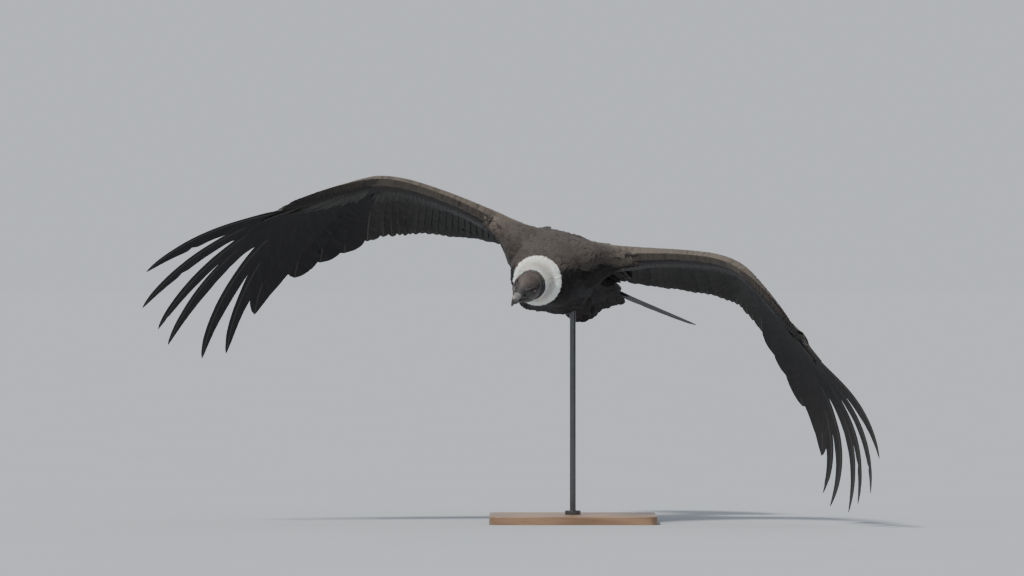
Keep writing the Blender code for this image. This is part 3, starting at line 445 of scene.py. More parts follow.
def horn_material(name, base, tip, along_low, along_high):
    """Horn: fine growth lines, worn streaks, and a darker tip that the marks place."""
    s = Shader(name, 0.38, Specular_IOR_Level=0.5, Coat_Weight=0.12, Coat_Roughness=0.3)
    share = s.marks()[0]
    place = s.place()
    streak = s.noise(place, 420.0, 5.0, 0.7)
    cloud = s.noise(place, 60.0, 3.0, 0.5)
    colour = s.mix(s.ramp(share, along_low, along_high), base, tip)
    colour = s.mix(s.ramp(cloud, 0.35, 0.75, 0.0, 0.35), colour, shade(base, 0.6))
    colour = s.mix(s.ramp(streak, 0.55, 0.8, 0.0, 0.4), colour, shade(base, 1.35))
    return s.finish(colour, s.line(streak, 0.3, 0.26), (streak, 0.25, 0.0005))


def scale_material():
    """Leg and toe scales: raised plates with dark joints between them."""
    s = Shader("foot_scales", 0.55, Specular_IOR_Level=0.45)
    place = s.place()
    cells = s.node("ShaderNodeTexVoronoi", {"Vector": place, "Scale": 330.0},
                   feature="DISTANCE_TO_EDGE")
    fine = s.noise(place, 700.0, 5.0)
    plate = s.ramp(cells, 0.02, 0.16)
    colour = s.mix(fine, (0.115, 0.110, 0.106), (0.235, 0.225, 0.215))
    colour = s.mix(s.math("SUBTRACT", 1.0, plate), colour, (0.035, 0.032, 0.030))
    height = s.math("ADD", plate, s.times(fine, 0.3))
    return s.finish(colour, s.line(fine, 0.25, 0.42), (height, 0.6, 0.0008))


def eye_material():
    """The eyeball: dark pupil, red-brown iris with fine rays, and a wet surface."""
    s = Shader("eye_iris", 0.08, Coat_Weight=1.0, Coat_Roughness=0.03, Specular_IOR_Level=0.6)
    turn, radius, _ = s.marks()
    fibre = s.noise(s.vector(s.times(turn, 40.0), s.times(radius, 6.0)), 1.0, 5.0, 0.7)
    iris = s.mix(fibre, (0.035, 0.008, 0.006), (0.110, 0.028, 0.018))
    iris = s.mix(s.ramp(radius, 0.62, 0.80), iris, (0.030, 0.010, 0.008))
    return s.finish(s.mix(s.ramp(radius, 0.32, 0.36), (0.004, 0.004, 0.004), iris))


def wood_material():
    """Oiled oak of the base, with grain and pores."""
    s = Shader("stand_wood", 0.45, Coat_Weight=0.15, Coat_Roughness=0.35)
    grain_at = s.stretched((2.2, 26.0, 26.0))
    warp = s.noise(grain_at, 1.4, 6.0, 0.6)
    rings = s.node("ShaderNodeTexWave", {"Vector": grain_at, "Scale": 0.55, "Distortion": 7.0,
                                         "Detail": 4.0, "Detail Scale": 1.6})
    pores = s.noise(s.stretched((18.0, 420.0, 420.0)), 1.0, 4.0, 0.7)
    colour = s.mix(rings, (0.155, 0.088, 0.048), (0.270, 0.165, 0.095))
    colour = s.mix(s.times(warp, 0.45), colour, (0.330, 0.210, 0.125))
    colour = s.mix(s.ramp(pores, 0.58, 0.72, 0.0, 0.7), colour, (0.070, 0.038, 0.022))
    return s.finish(colour, s.line(pores, 0.3, 0.30),
                    (s.math("SUBTRACT", 1.0, pores), 0.25, 0.0006))


def steel_material():
    """Dark burnished steel of the rod, with faint drawn lines."""
    s = Shader("stand_metal", 0.35, Metallic=1.0)
    lines = s.noise(s.stretched((900.0, 900.0, 12.0)), 1.0, 3.0)
    colour = s.mix(s.noise(s.place(), 25.0), (0.085, 0.085, 0.090), (0.160, 0.158, 0.155))
    return s.finish(colour, s.line(lines, 0.25, 0.24), (lines, 0.08, 0.0003))


def floor_material():
    s = Shader("pale_floor", 1.0, Specular_IOR_Level=0.0)
    cloud = s.noise(s.place(), 1.6, 3.0)
    return s.finish(s.mix(cloud, (0.401, 0.423, 0.454), (0.428, 0.445, 0.472)))


# Feathers as closed vanes

BAKE_PATCH = 0.003
PIECE_TRIANGLES = 190000
RIM_ANGLE = math.radians(50)


def ring_uv(item, name, values, flip):
    """A UV map from (count, stations, ring + 1, 2) values, the last column closing each ring."""
    rows = tube_corners(values.shape[1], values.shape[2] - 1, flip).reshape(-1, 2)
    layer = item.data.uv_layers.new(name=name)
    picked = values[:, rows[:, 0], rows[:, 1]]
    layer.uv.foreach_set("vector", picked.astype(np.float32).ravel())


def wound_inward(points):
    """Whether the quads of one tube of (stations, ring, 3) points face its inside."""
    corners = (points.reshape(-1, 3) - points.mean((0, 1)))[tube_faces(*points.shape[:2])]
    a, b, c, d = corners[:, 0], corners[:, 1], corners[:, 2], corners[:, 3]
    cross = np.cross(b, c) + np.cross(c, d)
    return float(np.sum(a * cross)) < 0


def chance_marks(points, draw):
    """Marks for (count, stations, ring, 3) points, the first each vane's own chance."""
    marks = np.zeros(points.shape)
    marks[..., 0] = draw.random(len(points))[:, None, None]
    return marks


def plumage(name, points, shares, a, roots, marks, material, slot, *nodes):
    """Closed vanes from (count, stations, ring, 3) points, in pieces of bounded size.

    shares and a tell how far along and across a vane its stations and ring points are. roots
    are the vanes' places on the shared unwrap, or the number of strips that lie abreast on
    the piece's own map.
    """
    count, stations, ring = points.shape[:3]
    vane = vane_places(count, shares, a)
    bake = (strip_map(count, shares, ring, roots) if isinstance(roots, int)
            else patch_map(roots, shares, a))
    each = 2 * ((stations - 1) * ring + 2 * (ring // 2 - 1))
    pieces = math.ceil(count * each / PIECE_TRIANGLES)
    flip = wound_inward(points[0])
    for number, share in enumerate(np.array_split(np.arange(count), pieces), 1):
        title = name if pieces == 1 else "%s_%d" % (name, number)
        item = new_mesh(title, to_world(points[share]),
                        tube_faces(stations, ring, len(share), flip))
        item.data.set_sharp_from_angle(angle=RIM_ANGLE)
        ring_uv(item, "OFBake", bake[share], flip)
        ring_uv(item, "vane", vane[share], flip)
        set_marks(item, marks[share].reshape(-1, 3))
        attach(item, material, slot, *(nodes if number == 1 else ()))


def spread(share, root, full, tip, ramp=0.3, round_off=0.80, pointed=0.0):
    """A vane's half width: narrow at its root, full, then rounded or pointed to its tip."""
    rise = root + (full - root) * np.clip(share / ramp, 0.0, 1.0)
    x = np.clip((share - round_off) / (1 - round_off), 0.0, 1.0)
    fall = np.sqrt(np.maximum(0.0, 1 - x * x)) * (1 - pointed) + (1 - x ** 1.5) * pointed
    return np.maximum(np.minimum(rise, full * fall + tip * (x > 0)), tip)


def laid_flat(u, v, turn, bend, length, shares, reach):
    """Flat places reach beside the shafts of vanes, whose headings bend as they go."""
    near, far = shares[:-1], shares[1:]
    middle = (near + far) / 2
    heading = turn[:, None] + bend[:, None] * middle[None] ** 2
    step = length[:, None] * (far - near)[None]
    path_u, path_v = [
        start[:, None] + np.pad(np.cumsum(way(heading) * step, 1), ((0, 0), (1, 0)))
        for start, way in ((u, np.cos), (v, np.sin))]
    at = (turn[:, None] + bend[:, None] * shares[None] ** 2)[..., None]
    return path_u[..., None] + np.sin(at) * reach, path_v[..., None] - np.cos(at) * reach


def across_columns(columns):
    """Ring positions across a vane, from its leading edge over the top and back below."""
    columns = np.array(columns)
    return np.concatenate([columns, columns[::-1]]), np.repeat([1.0, -1.0], len(columns))


def vane_places(count, shares, a):
    """Across and along coordinates of ring points, with the closing column."""
    closed = np.append(a, a[0])
    grid = np.zeros((count, len(shares), len(closed), 2))
    grid[..., 0] = (closed + 1) / 2
    grid[..., 1] = shares[:, None]
    return grid


def strip_map(count, shares, ring, columns):
    """Bake places of long feathers: each has a strip of its own, round its top and underside."""
    rows = math.ceil(count / columns)
    number = np.arange(count)
    across = np.linspace(0.03, 0.97, ring + 1) / columns
    along = (0.02 + 0.96 * shares) / rows
    grid = np.zeros((count, len(shares), ring + 1, 2))
    grid[..., 0] = (number % columns / columns)[:, None, None] + across
    grid[..., 1] = ((number // columns / rows)[:, None] + along)[..., None]
    return grid


def patch_map(roots, shares, a):
    """Bake places of small vanes: a small patch each, at the root's place on the skin's map."""
    closed = np.append(a, a[0])
    grid = np.zeros((len(roots), len(shares), len(closed), 2))
    grid[..., 0] = roots[:, 0, None, None] + BAKE_PATCH * closed / 2
    grid[..., 1] = roots[:, 1, None, None] + (BAKE_PATCH * (shares - 0.5))[:, None]
    return grid


# The unwrap that skin and coat share: one box of the unit square for each form.
MAP_BOXES = {
    "torso": (0.02, 0.02, 0.48, 0.38), "tail": (0.02, 0.40, 0.48, 0.49),
    "head": (0.52, 0.02, 0.98, 0.30), "thigh_left": (0.52, 0.32, 0.74, 0.49),
    "thigh_right": (0.76, 0.32, 0.98, 0.49),
    "left_above": (0.02, 0.51, 0.48, 0.73), "left_below": (0.02, 0.76, 0.48, 0.98),
    "right_above": (0.52, 0.51, 0.98, 0.73), "right_below": (0.52, 0.76, 0.98, 0.98),
}


WING_MAP_FROM = (-0.06, -0.03)
WING_MAP_RUN = (0.81, 0.18)


def skin_map(form, s, t):
    """The place on the shared unwrap of a point that is s across and t along a form."""
    low_u, low_v, high_u, high_v = MAP_BOXES[form]
    return np.stack([low_u + (high_u - low_u) * np.clip(s, 0, 1),
                     low_v + (high_v - low_v) * np.clip(t, 0, 1)], -1)


def wing_place(form, u, b):
    """The place on the shared unwrap of a point of a wing at u, b behind its front."""
    return skin_map(form, (u - WING_MAP_FROM[0]) / WING_MAP_RUN[0],
                    (b - WING_MAP_FROM[1]) / WING_MAP_RUN[1])


# Flesh of the wings, which the coverts lie over

RING_AT = (0.0, 0.10, 0.28, 0.52, 0.76, 1.0)
RING_ABOVE = (0.0, 0.62, 1.0, 0.86, 0.52, 0.16)
RING_BELOW = (0.0, -0.46, -0.74, -0.66, -0.42, -0.16)
ARM_FLESH_AT = (-0.045, 0.000, 0.060, 0.140, 0.230, 0.320)
ARM_FLESH_CHORD = (0.195, 0.195, 0.185, 0.165, 0.150, 0.145)
ARM_FLESH_THICK = (0.042, 0.042, 0.034, 0.024, 0.0185, 0.0170)
ARM_FLESH_DROOP = (-0.028, -0.029, -0.025, -0.016, -0.011, -0.010)
HAND_FLESH_AT = (0.0, 0.16, 0.33, 0.50, 0.68, 0.84, 1.00, 1.16)
HAND_FLESH_CHORD = (0.135, 0.125, 0.110, 0.095, 0.078, 0.060, 0.040, 0.018)
HAND_FLESH_THICK = (0.0165, 0.0160, 0.0150, 0.0135, 0.0120, 0.0100, 0.0080, 0.0050)
HAND_FLESH_AHEAD = (0.0, 0.006, 0.010, 0.014, 0.016, 0.016, 0.014, 0.008)
HAND_FLESH_DROOP = (-0.0085, -0.0070, -0.0050, -0.0020, 0.0005, 0.0020, 0.0030, 0.0030)
COAT_ON_WING = 0.0030


def flesh_of(wing, u):
    """Chord, half thickness, reach ahead of the front and droop of the flesh at u."""
    end = wing.wrist
    at = list(ARM_FLESH_AT) + [end + share * wing.hand for share in HAND_FLESH_AT]
    chord = np.interp(u, at, ARM_FLESH_CHORD + HAND_FLESH_CHORD)
    thick = np.interp(u, at, ARM_FLESH_THICK + HAND_FLESH_THICK)
    ahead = np.interp(u, at, (0.0,) * len(ARM_FLESH_AT) + HAND_FLESH_AHEAD)
    share = np.clip((u - end) / wing.hand, 0.0, HAND_FLESH_AT[-1])
    droop = np.interp(u, at, ARM_FLESH_DROOP + HAND_FLESH_DROOP)
    return chord, thick, ahead, droop - PRIMARY_STEP * (PRIMARIES - 1) * share


def surface(wing, u, b, side):
    """Height of the wing's flesh, or of its feather plane behind that, b behind the front."""
    chord, thick, ahead, droop = flesh_of(wing, u)
    x = (b + ahead) / (chord + ahead)
    profile = np.where(side > 0, np.interp(x, RING_AT, RING_ABOVE),
                       np.interp(x, RING_AT, RING_BELOW))
    past = np.exp(-np.maximum(x - 1.0, 0.0) * chord / 0.03)
    flesh = (thick - COAT_ON_WING) * profile * past + droop * past
    plane = (-PRIMARY_STEP * (PRIMARIES - 1) * np.clip((u - wing.wrist) / HAND, 0.0, 1.1)
             * smooth((1.3 - x) / 0.6))
    rear = smooth((x - 0.45) / 0.35)
    above = np.maximum(flesh, plane * rear - 0.02 * (1 - rear))
    below = np.minimum(flesh, plane * rear + 0.02 * (1 - rear))
    return np.where(x > 0.3, np.where(side > 0, above, below), flesh)


# Flight feathers

PRIMARY_STATIONS = np.concatenate([np.linspace(0.0, 0.80, 25), np.linspace(0.83, 1.0, 11)])
SECONDARY_STATIONS = np.concatenate([np.linspace(0.0, 0.78, 15), np.linspace(0.82, 1.0, 8)])
FLIGHT_COLUMNS = (1.0, 0.55, 0.05, -0.05, -0.5, -1.0)
SECONDARIES = 24
TERTIALS = 6
SHAFT_HALF = 0.0011
SHAFT_COLUMN = 0.0016
WEB_HALF = 0.00032


def flight_vanes(wing, u, v, turn, bend, length, shares, ahead, behind, lift, tilt):
    """Points of flight feathers laid on the wing."""
    a, face = across_columns(FLIGHT_COLUMNS)
    reach = np.where(a > 0, ahead[..., None] * a, behind[..., None] * a)
    near_shaft = np.abs(a) < 0.1
    reach = np.where(near_shaft, np.sign(a) * SHAFT_COLUMN, reach)
    half = np.where(near_shaft, SHAFT_HALF * (1 - 0.6 * shares[:, None]), WEB_HALF)
    curve = -0.06 * np.abs(reach) ** 1.5 * 6
    h = lift[..., None] + tilt * reach + curve + face * half
    at_u, at_v = laid_flat(u, v, turn, bend, length, shares, reach)
    return wing.place(at_u, at_v, h), a, face


def frayed(draw, count, shares, share, deepest):
    """Edge factors with a few small breaks where barbs have parted."""
    factor = 1.0 + draw.normal(0.0, 0.012, (count, len(shares)))
    for i in range(count):
        if draw.random() < share:
            at = draw.integers(len(shares) // 2, len(shares) - 3)
            factor[i, at] *= 1 - draw.uniform(0.4, 1.0) * deepest
    return factor


def primary_roots(wing, number):
    """Where feathers of the hand root, and their headings; P1 is number 1."""
    share = number / PRIMARIES
    u = wing.wrist + share * HAND * math.cos(wing.hand_sweep)
    v = PRIMARY_ROOT_BACK + share * HAND * math.sin(wing.hand_sweep)
    rest = np.interp(number, np.arange(1, PRIMARIES + 1), PRIMARY_TURN)
    return u, v, np.radians(rest - PRIMARY_REST_SWEEP) + wing.hand_sweep


def secondary_roots(wing, share, back):
    """Where feathers of the arm root, their headings, and their lengths to the edge."""
    u = SECONDARY_FIRST + (wing.wrist - SECONDARY_LAST - SECONDARY_FIRST) * share
    v = wing.front(u) + back
    turn = np.radians(np.interp(share, SECONDARY_TURN_AT, SECONDARY_TURN))
    length = (wing.back(u) - wing.front(u) - SECONDARY_ROOT_BACK) / np.sin(turn)
    inner = 0.86 + 0.14 * np.clip(share / 0.12, 0.0, 1.0)
    outer = 1.0 - 0.15 * np.clip((share - 0.75) / 0.25, 0.0, 1.0)
    return u, v, turn, length * inner * outer


def make_primaries(wing, material, draw):
    """The ten primaries, from the wrist outward, with slots between the outer ones."""
    number = np.arange(1, PRIMARIES + 1)
    u, v, turn = primary_roots(wing, number)
    shares = PRIMARY_STATIONS
    slot = np.array(SLOT_AT)[:, None]
    narrow = smooth((shares[None] - slot + 0.10) / 0.18)
    full = [np.where(slot > 1, broad, finger) for broad, finger in zip(BROAD_VANE, FINGER_VANE)]
    more = [np.array(rows)[:, None] for rows in (MORE_AHEAD, MORE_BEHIND)]
    tip_from, pointed = np.array(TIP_FROM)[:, None], np.array(POINTED)[:, None]
    ahead = spread(shares[None], 0.003, full[0] + more[0] - SLOT_CUT[0] * narrow, 0.0008, 0.18,
                   0.86, pointed * 0.5)
    behind = spread(shares[None], 0.003, full[1] + more[1] - SLOT_CUT[1] * narrow, 0.0008, 0.22,
                    tip_from, pointed)
    ahead = ahead * frayed(draw, PRIMARIES, shares, 0.2, 0.2)
    behind = behind * frayed(draw, PRIMARIES, shares, 0.5, 0.35)
    bend = np.array([SABER + OUTER_SABER.get(n, 0.0) for n in number])
    lift = np.repeat((-PRIMARY_STEP * (number - 1.0))[:, None], len(shares), 1)
    points, a, _ = flight_vanes(wing, u, v, turn, bend, np.array(PRIMARY_LENGTH), shares,
                                ahead, behind, lift, PRIMARY_TILT)
    marks = chance_marks(points, draw)
    plumage("primaries_" + wing.name, points, shares, a, 5, marks, material,
            "flight_feathers", "wing_hand_" + wing.name)


def make_secondaries(wing, material, draw):
    """Secondaries along the arm and tertials inward of them, their upper webs silver."""
    share = np.arange(SECONDARIES + TERTIALS + 1) - TERTIALS
    share = share / (SECONDARIES - 1.0)
    u, v, turn, length = secondary_roots(wing, share, SECONDARY_ROOT_BACK)
    inward = np.clip(-share, 0.0, 1.0)
    length = length * (1 - 0.25 * inward)
    turn = turn + inward * math.radians(24)
    shares = SECONDARY_STATIONS
    count = len(share)
    ahead, behind = [
        spread(shares[None], 0.003, np.full((count, 1), full), 0.002, 0.25, round_off)
        for full, round_off in zip(SECONDARY_VANE, (0.84, 0.80))]
    ahead = ahead * frayed(draw, count, shares, 0.15, 0.2)
    behind = behind * frayed(draw, count, shares, 0.3, 0.3)
    length = length * draw.uniform(0.985, 1.015, count)
    lift = np.zeros((count, len(shares)))
    points, a, face = flight_vanes(wing, u, v, turn, np.full(count, math.radians(5)), length,
                                   shares, ahead, behind, lift, SECONDARY_TILT)
    marks = chance_marks(points, draw)
    web = np.where((face > 0) & (a > 0), 0.95, 0.0)
    reach = smooth((shares - 0.12) / 0.15) * smooth((0.985 - shares) / 0.05)
    marks[..., 1] = web[None, None] * reach[None, :, None]
    plumage("secondaries_" + wing.name, points, shares, a, 10, marks, material,
            "flight_feathers", "wing_arm_" + wing.name)


# Coverts of the wing

def small_web(a):
    """Half thickness across a small vane, more at its shaft."""
    return 0.00025 + 0.0004 * (np.abs(a) < 0.1)


COVERT_STATIONS = np.array([0.0, 0.18, 0.38, 0.58, 0.76, 0.89, 0.96, 1.0])
SMALL_STATIONS = np.array([0.0, 0.3, 0.6, 0.85, 1.0])
GREAT_COLUMNS = (1.0, 0.5, 0.0, -0.5, -1.0)
SMALL_COLUMNS = (1.0, 0.0, -1.0)


class CovertRows:
    """Covert feathers of one wing side, gathered row by row into one piece."""

    def __init__(self, wing, side, stations, columns):
        self.wing = wing
        self.side = side
        self.shares = stations
        self.a, self.face = across_columns(columns)
        self.points, self.marks, self.roots = [], [], []
        self.level = "above" if side > 0 else "below"
        self.where = self.level + "_" + wing.name

    def row(self, u, b, turn, length, width, lift, brown, pale, draw, tilt=0.10, extra=None,
            climb=lambda share: smooth(share / 0.6)):
        """One row: b behind the front, each feather width across, lifted over the flesh."""
        wing, side = self.wing, self.side
        count = len(u)
        v = wing.front(u) + b
        bend = np.full(count, math.radians(6))
        half = spread(self.shares[None], 0.35, np.ones((count, 1)), 0.10, 0.3, 0.70)
        reach = half[..., None] * self.a * (np.broadcast_to(width, count) / 2)[:, None, None]
        reach = reach * draw.uniform(0.94, 1.06, (count, 1, 1))
        at_u, at_v = laid_flat(u, v, turn, bend, length, self.shares, reach)
        base = surface(wing, at_u, at_v - wing.front(at_u), side)
        rise = lift[0] + (lift[1] - lift[0]) * climb(self.shares)
        if extra is not None:
            base = base + extra[:, None, None]
        web = small_web(self.a)
        crown = -0.02 * np.abs(reach) * 4
        h = base + side * (rise[None, :, None] + tilt * reach + crown) + self.face * web
        points = wing.place(at_u, at_v, h)
        self.points.append(points)
        marks = chance_marks(points, draw)
        top = self.face * side > 0
        marks[..., 1] = (np.broadcast_to(pale, count)[:, None, None]
                         * np.where(top, 1.0, 0.3) * smooth((self.shares - 0.25) / 0.3)[:, None])
        marks[..., 2] = np.broadcast_to(brown, count)[:, None, None]
        self.marks.append(marks)
        form = wing.name + "_" + self.level
        self.roots.append(wing_place(form, u, b + np.zeros(count)))

    def finish(self, name, material, slot):
        points, roots, marks = [np.concatenate(rows) for rows in
                                (self.points, self.roots, self.marks)]
        plumage(name, points, self.shares, self.a, roots, marks, material, slot)


def make_great_coverts(wing, side, material, draw):
    """Greater coverts over the secondaries and primaries, medians, and the thumb feathers."""
    rows = CovertRows(wing, side, COVERT_STATIONS, GREAT_COLUMNS)
    above = side > 0
    count = SECONDARIES + TERTIALS - 2
    share = (np.arange(count) - TERTIALS + 2.3) / (SECONDARIES - 1.0)
    u, v, turn, length = secondary_roots(wing, share, 0.080)
    long = 0.50 if above else 0.45
    rows.row(u, 0.072, turn, length * long * draw.uniform(0.97, 1.03, count), 0.043,
             (0.0010, 0.0035 if above else 0.0030), 0.10, 0.85 * above, draw)
    number = np.linspace(1.0, 9.0, 15)
    u, v, turn = primary_roots(wing, number)
    reach = np.interp(number, np.arange(1, PRIMARIES + 1), PRIMARY_LENGTH)
    length = reach * np.interp(number, (1, 10), (0.44, 0.24))
    droop = -PRIMARY_STEP * (number - 1.0)
    close = -side * 0.0050 * smooth((number - 6.8) / 1.8)
    rows.row(u, v - wing.front(u), turn, length, 0.034, (0.0020, 0.0040), 0.05, 0.0, draw,
             extra=droop * 0.25 + close)
    count = 34
    share = (np.arange(count) - 2.0) / (count - 2.0)
    u, v, turn, length = secondary_roots(wing, share, 0.05)
    rows.row(u, 0.052, turn, np.full(count, 0.086) * draw.uniform(0.95, 1.05, count), 0.036,
             (0.0015, 0.0050), 0.15, 0.12 * above, draw)
    number = np.linspace(0.6, 8.8, 20)
    u, v, turn = primary_roots(wing, number)
    reach = np.interp(number, np.arange(1, PRIMARIES + 1), PRIMARY_LENGTH)
    close = -side * 0.0085 * smooth((number - 6.8) / 2.0)
    rows.row(u, v - wing.front(u) - 0.010, turn, reach * np.interp(number, (1, 10), (0.25, 0.15)),
             0.028, (0.0020, 0.0050), 0.10, 0.0, draw, extra=close)
    if above:
        along = np.array([0.012, 0.018, 0.024, 0.030])
        rows.row(wing.wrist + along, np.array([0.034, 0.028, 0.022, 0.017]),
                 np.radians([16.0, 12.0, 9.0, 7.0]), np.array([0.150, 0.135, 0.115, 0.095]),
                 0.030, (0.0025, 0.0040), 0.05, 0.0, draw, 0.04)
    rows.finish("greater_coverts_" + rows.where, material, "flight_feathers")


SMALL_ROWS = 12
SMALL_LIFT = (0.0002, 0.0052)
SMALL_TILT = 0.07


def even_climb(share):
    """A rise that goes on to the tip, so that each row clears the next one behind."""
    return share ** 0.85


def make_small_coverts(wing, side, material, draw):
    """Lesser and marginal coverts, row behind row from the front edge back."""
    rows = CovertRows(wing, side, SMALL_STATIONS, SMALL_COLUMNS)
    above = side > 0
    for i in range(SMALL_ROWS):
        x = i / (SMALL_ROWS - 1.0)
        b = -0.0015 + 0.060 * x ** 1.15
        long = 0.020 + 0.028 * x
        pitch = 0.0085 + 0.0065 * x
        count = int((wing.wrist + 0.075) / pitch)
        u = -0.055 + pitch * (np.arange(count) + 0.5 * (i % 2))
        u = u + draw.normal(0.0, pitch * 0.12, count)
        share = np.clip((u - SECONDARY_FIRST) / (wing.wrist - SECONDARY_FIRST), -0.2, 1.0)
        turn = np.radians(np.interp(share, SECONDARY_TURN_AT, (93, 90, 84, 74, 60)))
        turn = turn + draw.normal(0.0, 0.07, count)
        # Painted sunlight: rows near the front edge are brown, deeper over the top than under it.
        brown = np.clip(1.05 - b / (0.046 if above else 0.011), 0.0, 1.0) ** 0.8
        rows.row(u, np.full(count, b), turn, long * draw.uniform(0.95, 1.08, count), pitch * 1.9,
                 SMALL_LIFT, np.clip(brown * (0.92 + draw.normal(0, 0.24, count)), 0, 1), 0.0,
                 draw, SMALL_TILT, climb=even_climb)
    hand = wing.hand
    for i in range(SMALL_ROWS - 2):
        x = i / (SMALL_ROWS - 3.0)
        long = 0.020 + 0.030 * x
        pitch = 0.0085 + 0.0050 * x
        count = int(hand * 1.12 / pitch)
        u = wing.wrist - 0.004 + pitch * (np.arange(count) + 0.5 * (i % 2))
        u = u + draw.normal(0.0, pitch * 0.12, count)
        chord, _, ahead, _ = flesh_of(wing, u)
        b = -ahead - 0.001 + x * np.minimum(0.050, chord * 0.45)
        turn = np.radians(np.interp((u - wing.wrist) / hand, (0, 0.4, 1.1), (50, 30, 6)))
        turn = turn + wing.hand_sweep + draw.normal(0.0, 0.06, count)
        # Painted sunlight along the hand's front edge too, fading backward and outward.
        brown = np.clip((0.75 if above else 0.35) - x * (1.6 if above else 4.0), 0.0, 1.0)
        brown = brown * np.clip(1.1 - (u - wing.wrist) / hand, 0, 1)
        close = -side * 0.0045 * smooth(((u - wing.wrist) / hand - 0.72) / 0.3)
        rows.row(u, b, turn, long * draw.uniform(0.95, 1.08, count), pitch * 1.9,
                 SMALL_LIFT, brown, 0.0, draw, SMALL_TILT, extra=close, climb=even_climb)
    rows.finish("lesser_coverts_" + rows.where, material, "body_feathers")


# Torso, and the feathers that lie over it

TORSO_SQUARE = 2.6
TORSO = np.array((
    (-0.300, 0.004, -0.104, 0.052, 0.050, 0.048),
    (-0.270, 0.003, -0.094, 0.078, 0.080, 0.066),
    (-0.230, 0.001, -0.078, 0.098, 0.106, 0.088),
    (-0.180, 0.000, -0.060, 0.112, 0.114, 0.108),
    (-0.120, 0.000, -0.047, 0.120, 0.122, 0.118),
    (-0.050, 0.000, -0.040, 0.122, 0.121, 0.126),
    (0.030, 0.000, -0.037, 0.118, 0.115, 0.124),
    (0.110, 0.000, -0.030, 0.102, 0.104, 0.114),
    (0.180, 0.000, -0.020, 0.086, 0.084, 0.096),
    (0.240, 0.000, -0.008, 0.068, 0.059, 0.072),
    (0.290, 0.000, 0.000, 0.052, 0.036, 0.048),
    (0.318, 0.000, 0.003, 0.034, 0.022, 0.028),
))
NECK = np.array(((0.003, -0.240, -0.086, 0.045), (0.003, -0.290, -0.104, 0.046),
                 (0.001, -0.325, -0.118, 0.045), (-0.001, -0.352, -0.130, 0.043),
                 (-0.002, -0.378, -0.139, 0.036)))
TORSO_COAT = 0.010
TORSO_FROM = -0.300
TORSO_RUN = 0.62
TORSO_MIDDLE = -0.04
COAT_STATIONS = np.array([0.0, 0.35, 0.65, 0.82, 0.93, 1.0])


def torso_share(y):
    """How far a place is along the torso, 0 at its neck and 1 at its tail."""
    return (y - TORSO_FROM) / TORSO_RUN


def torso_points(y, turn, depth=0.0):
    """Points of the torso at y along it and turn round it, depth under its outline."""
    x, z, wide, above, below = [np.interp(y, TORSO[:, 0], TORSO[:, i]) for i in range(1, 6)]
    c, s = squared(turn, TORSO_SQUARE)
    out_x = c * (wide - depth)
    out_z = s * (np.where(s > 0, above, below) - depth)
    return np.stack([x + out_x, y + np.zeros_like(out_x), z + out_z], -1)


def torso_frames(y, turn, depth):
    """Places, outward normals and tailward directions on the torso."""
    place = torso_points(y, turn, depth)
    back = unit(torso_points(y + 0.004, turn, depth) - torso_points(y - 0.004, turn, depth))
    round_it = torso_points(y, turn + 0.01, depth) - torso_points(y, turn - 0.01, depth)
    normal = unit(np.cross(back, unit(round_it)))
    middle = place * (0.0, 1.0, 0.0) + (0.0, 0.0, TORSO_MIDDLE)
    flip = np.sign(np.sum(normal * (place - middle), -1))
    return place, normal * flip[..., None], back


def small_vanes(place, normal, along, length, width, shares, columns, rise, curl, camber=0.22):
    """Free vanes rooted at places: they rise from the skin, lie along it and curl at the tip."""
    a, face = across_columns(columns)
    side = unit(np.cross(along, normal))
    normal = unit(np.cross(side, along))
    count = len(place)
    half = spread(shares[None], 0.35, np.ones((count, 1)), 0.10, 0.3, 0.66)
    reach = half[..., None] * a * width[:, None, None] / 2
    lift = (rise[:, None] * even_climb(shares)[None]
            - curl[:, None] * (np.maximum(shares - 0.5, 0.0) ** 2)[None])
    web = small_web(a)
    h = lift[..., None] - camber * np.abs(reach) + face * web
    run = (length[:, None] * shares[None])[..., None]
    return (place[:, None, None] + along[:, None, None] * run[..., None]
            + side[:, None, None] * reach[..., None] + normal[:, None, None] * h[..., None]), a


def turned_toward(along, normal, angle):
    """Directions turned about their normals by an angle each."""
    side = np.cross(normal, along)
    return unit(along * np.cos(angle)[:, None] + side * np.sin(angle)[:, None])


def scattered(points, spacing, draw):
    """Points that keep their spacing from each other, taken in random order."""
    cells = {}
    size = float(spacing.max())
    keys = np.floor(points / size).astype(int)
    around = [(i, j, k) for i in (-1, 0, 1) for j in (-1, 0, 1) for k in (-1, 0, 1)]
    kept = []
    for i in draw.permutation(len(points)):
        x, y, z = keys[i]
        near = [n for a, b, c in around for n in cells.get((x + a, y + b, z + c), ())]
        if near and np.min(np.sum((points[near] - points[i]) ** 2, 1)) < spacing[i] ** 2:
            continue
        kept.append(i)
        cells.setdefault((x, y, z), []).append(i)
    return np.array(kept)


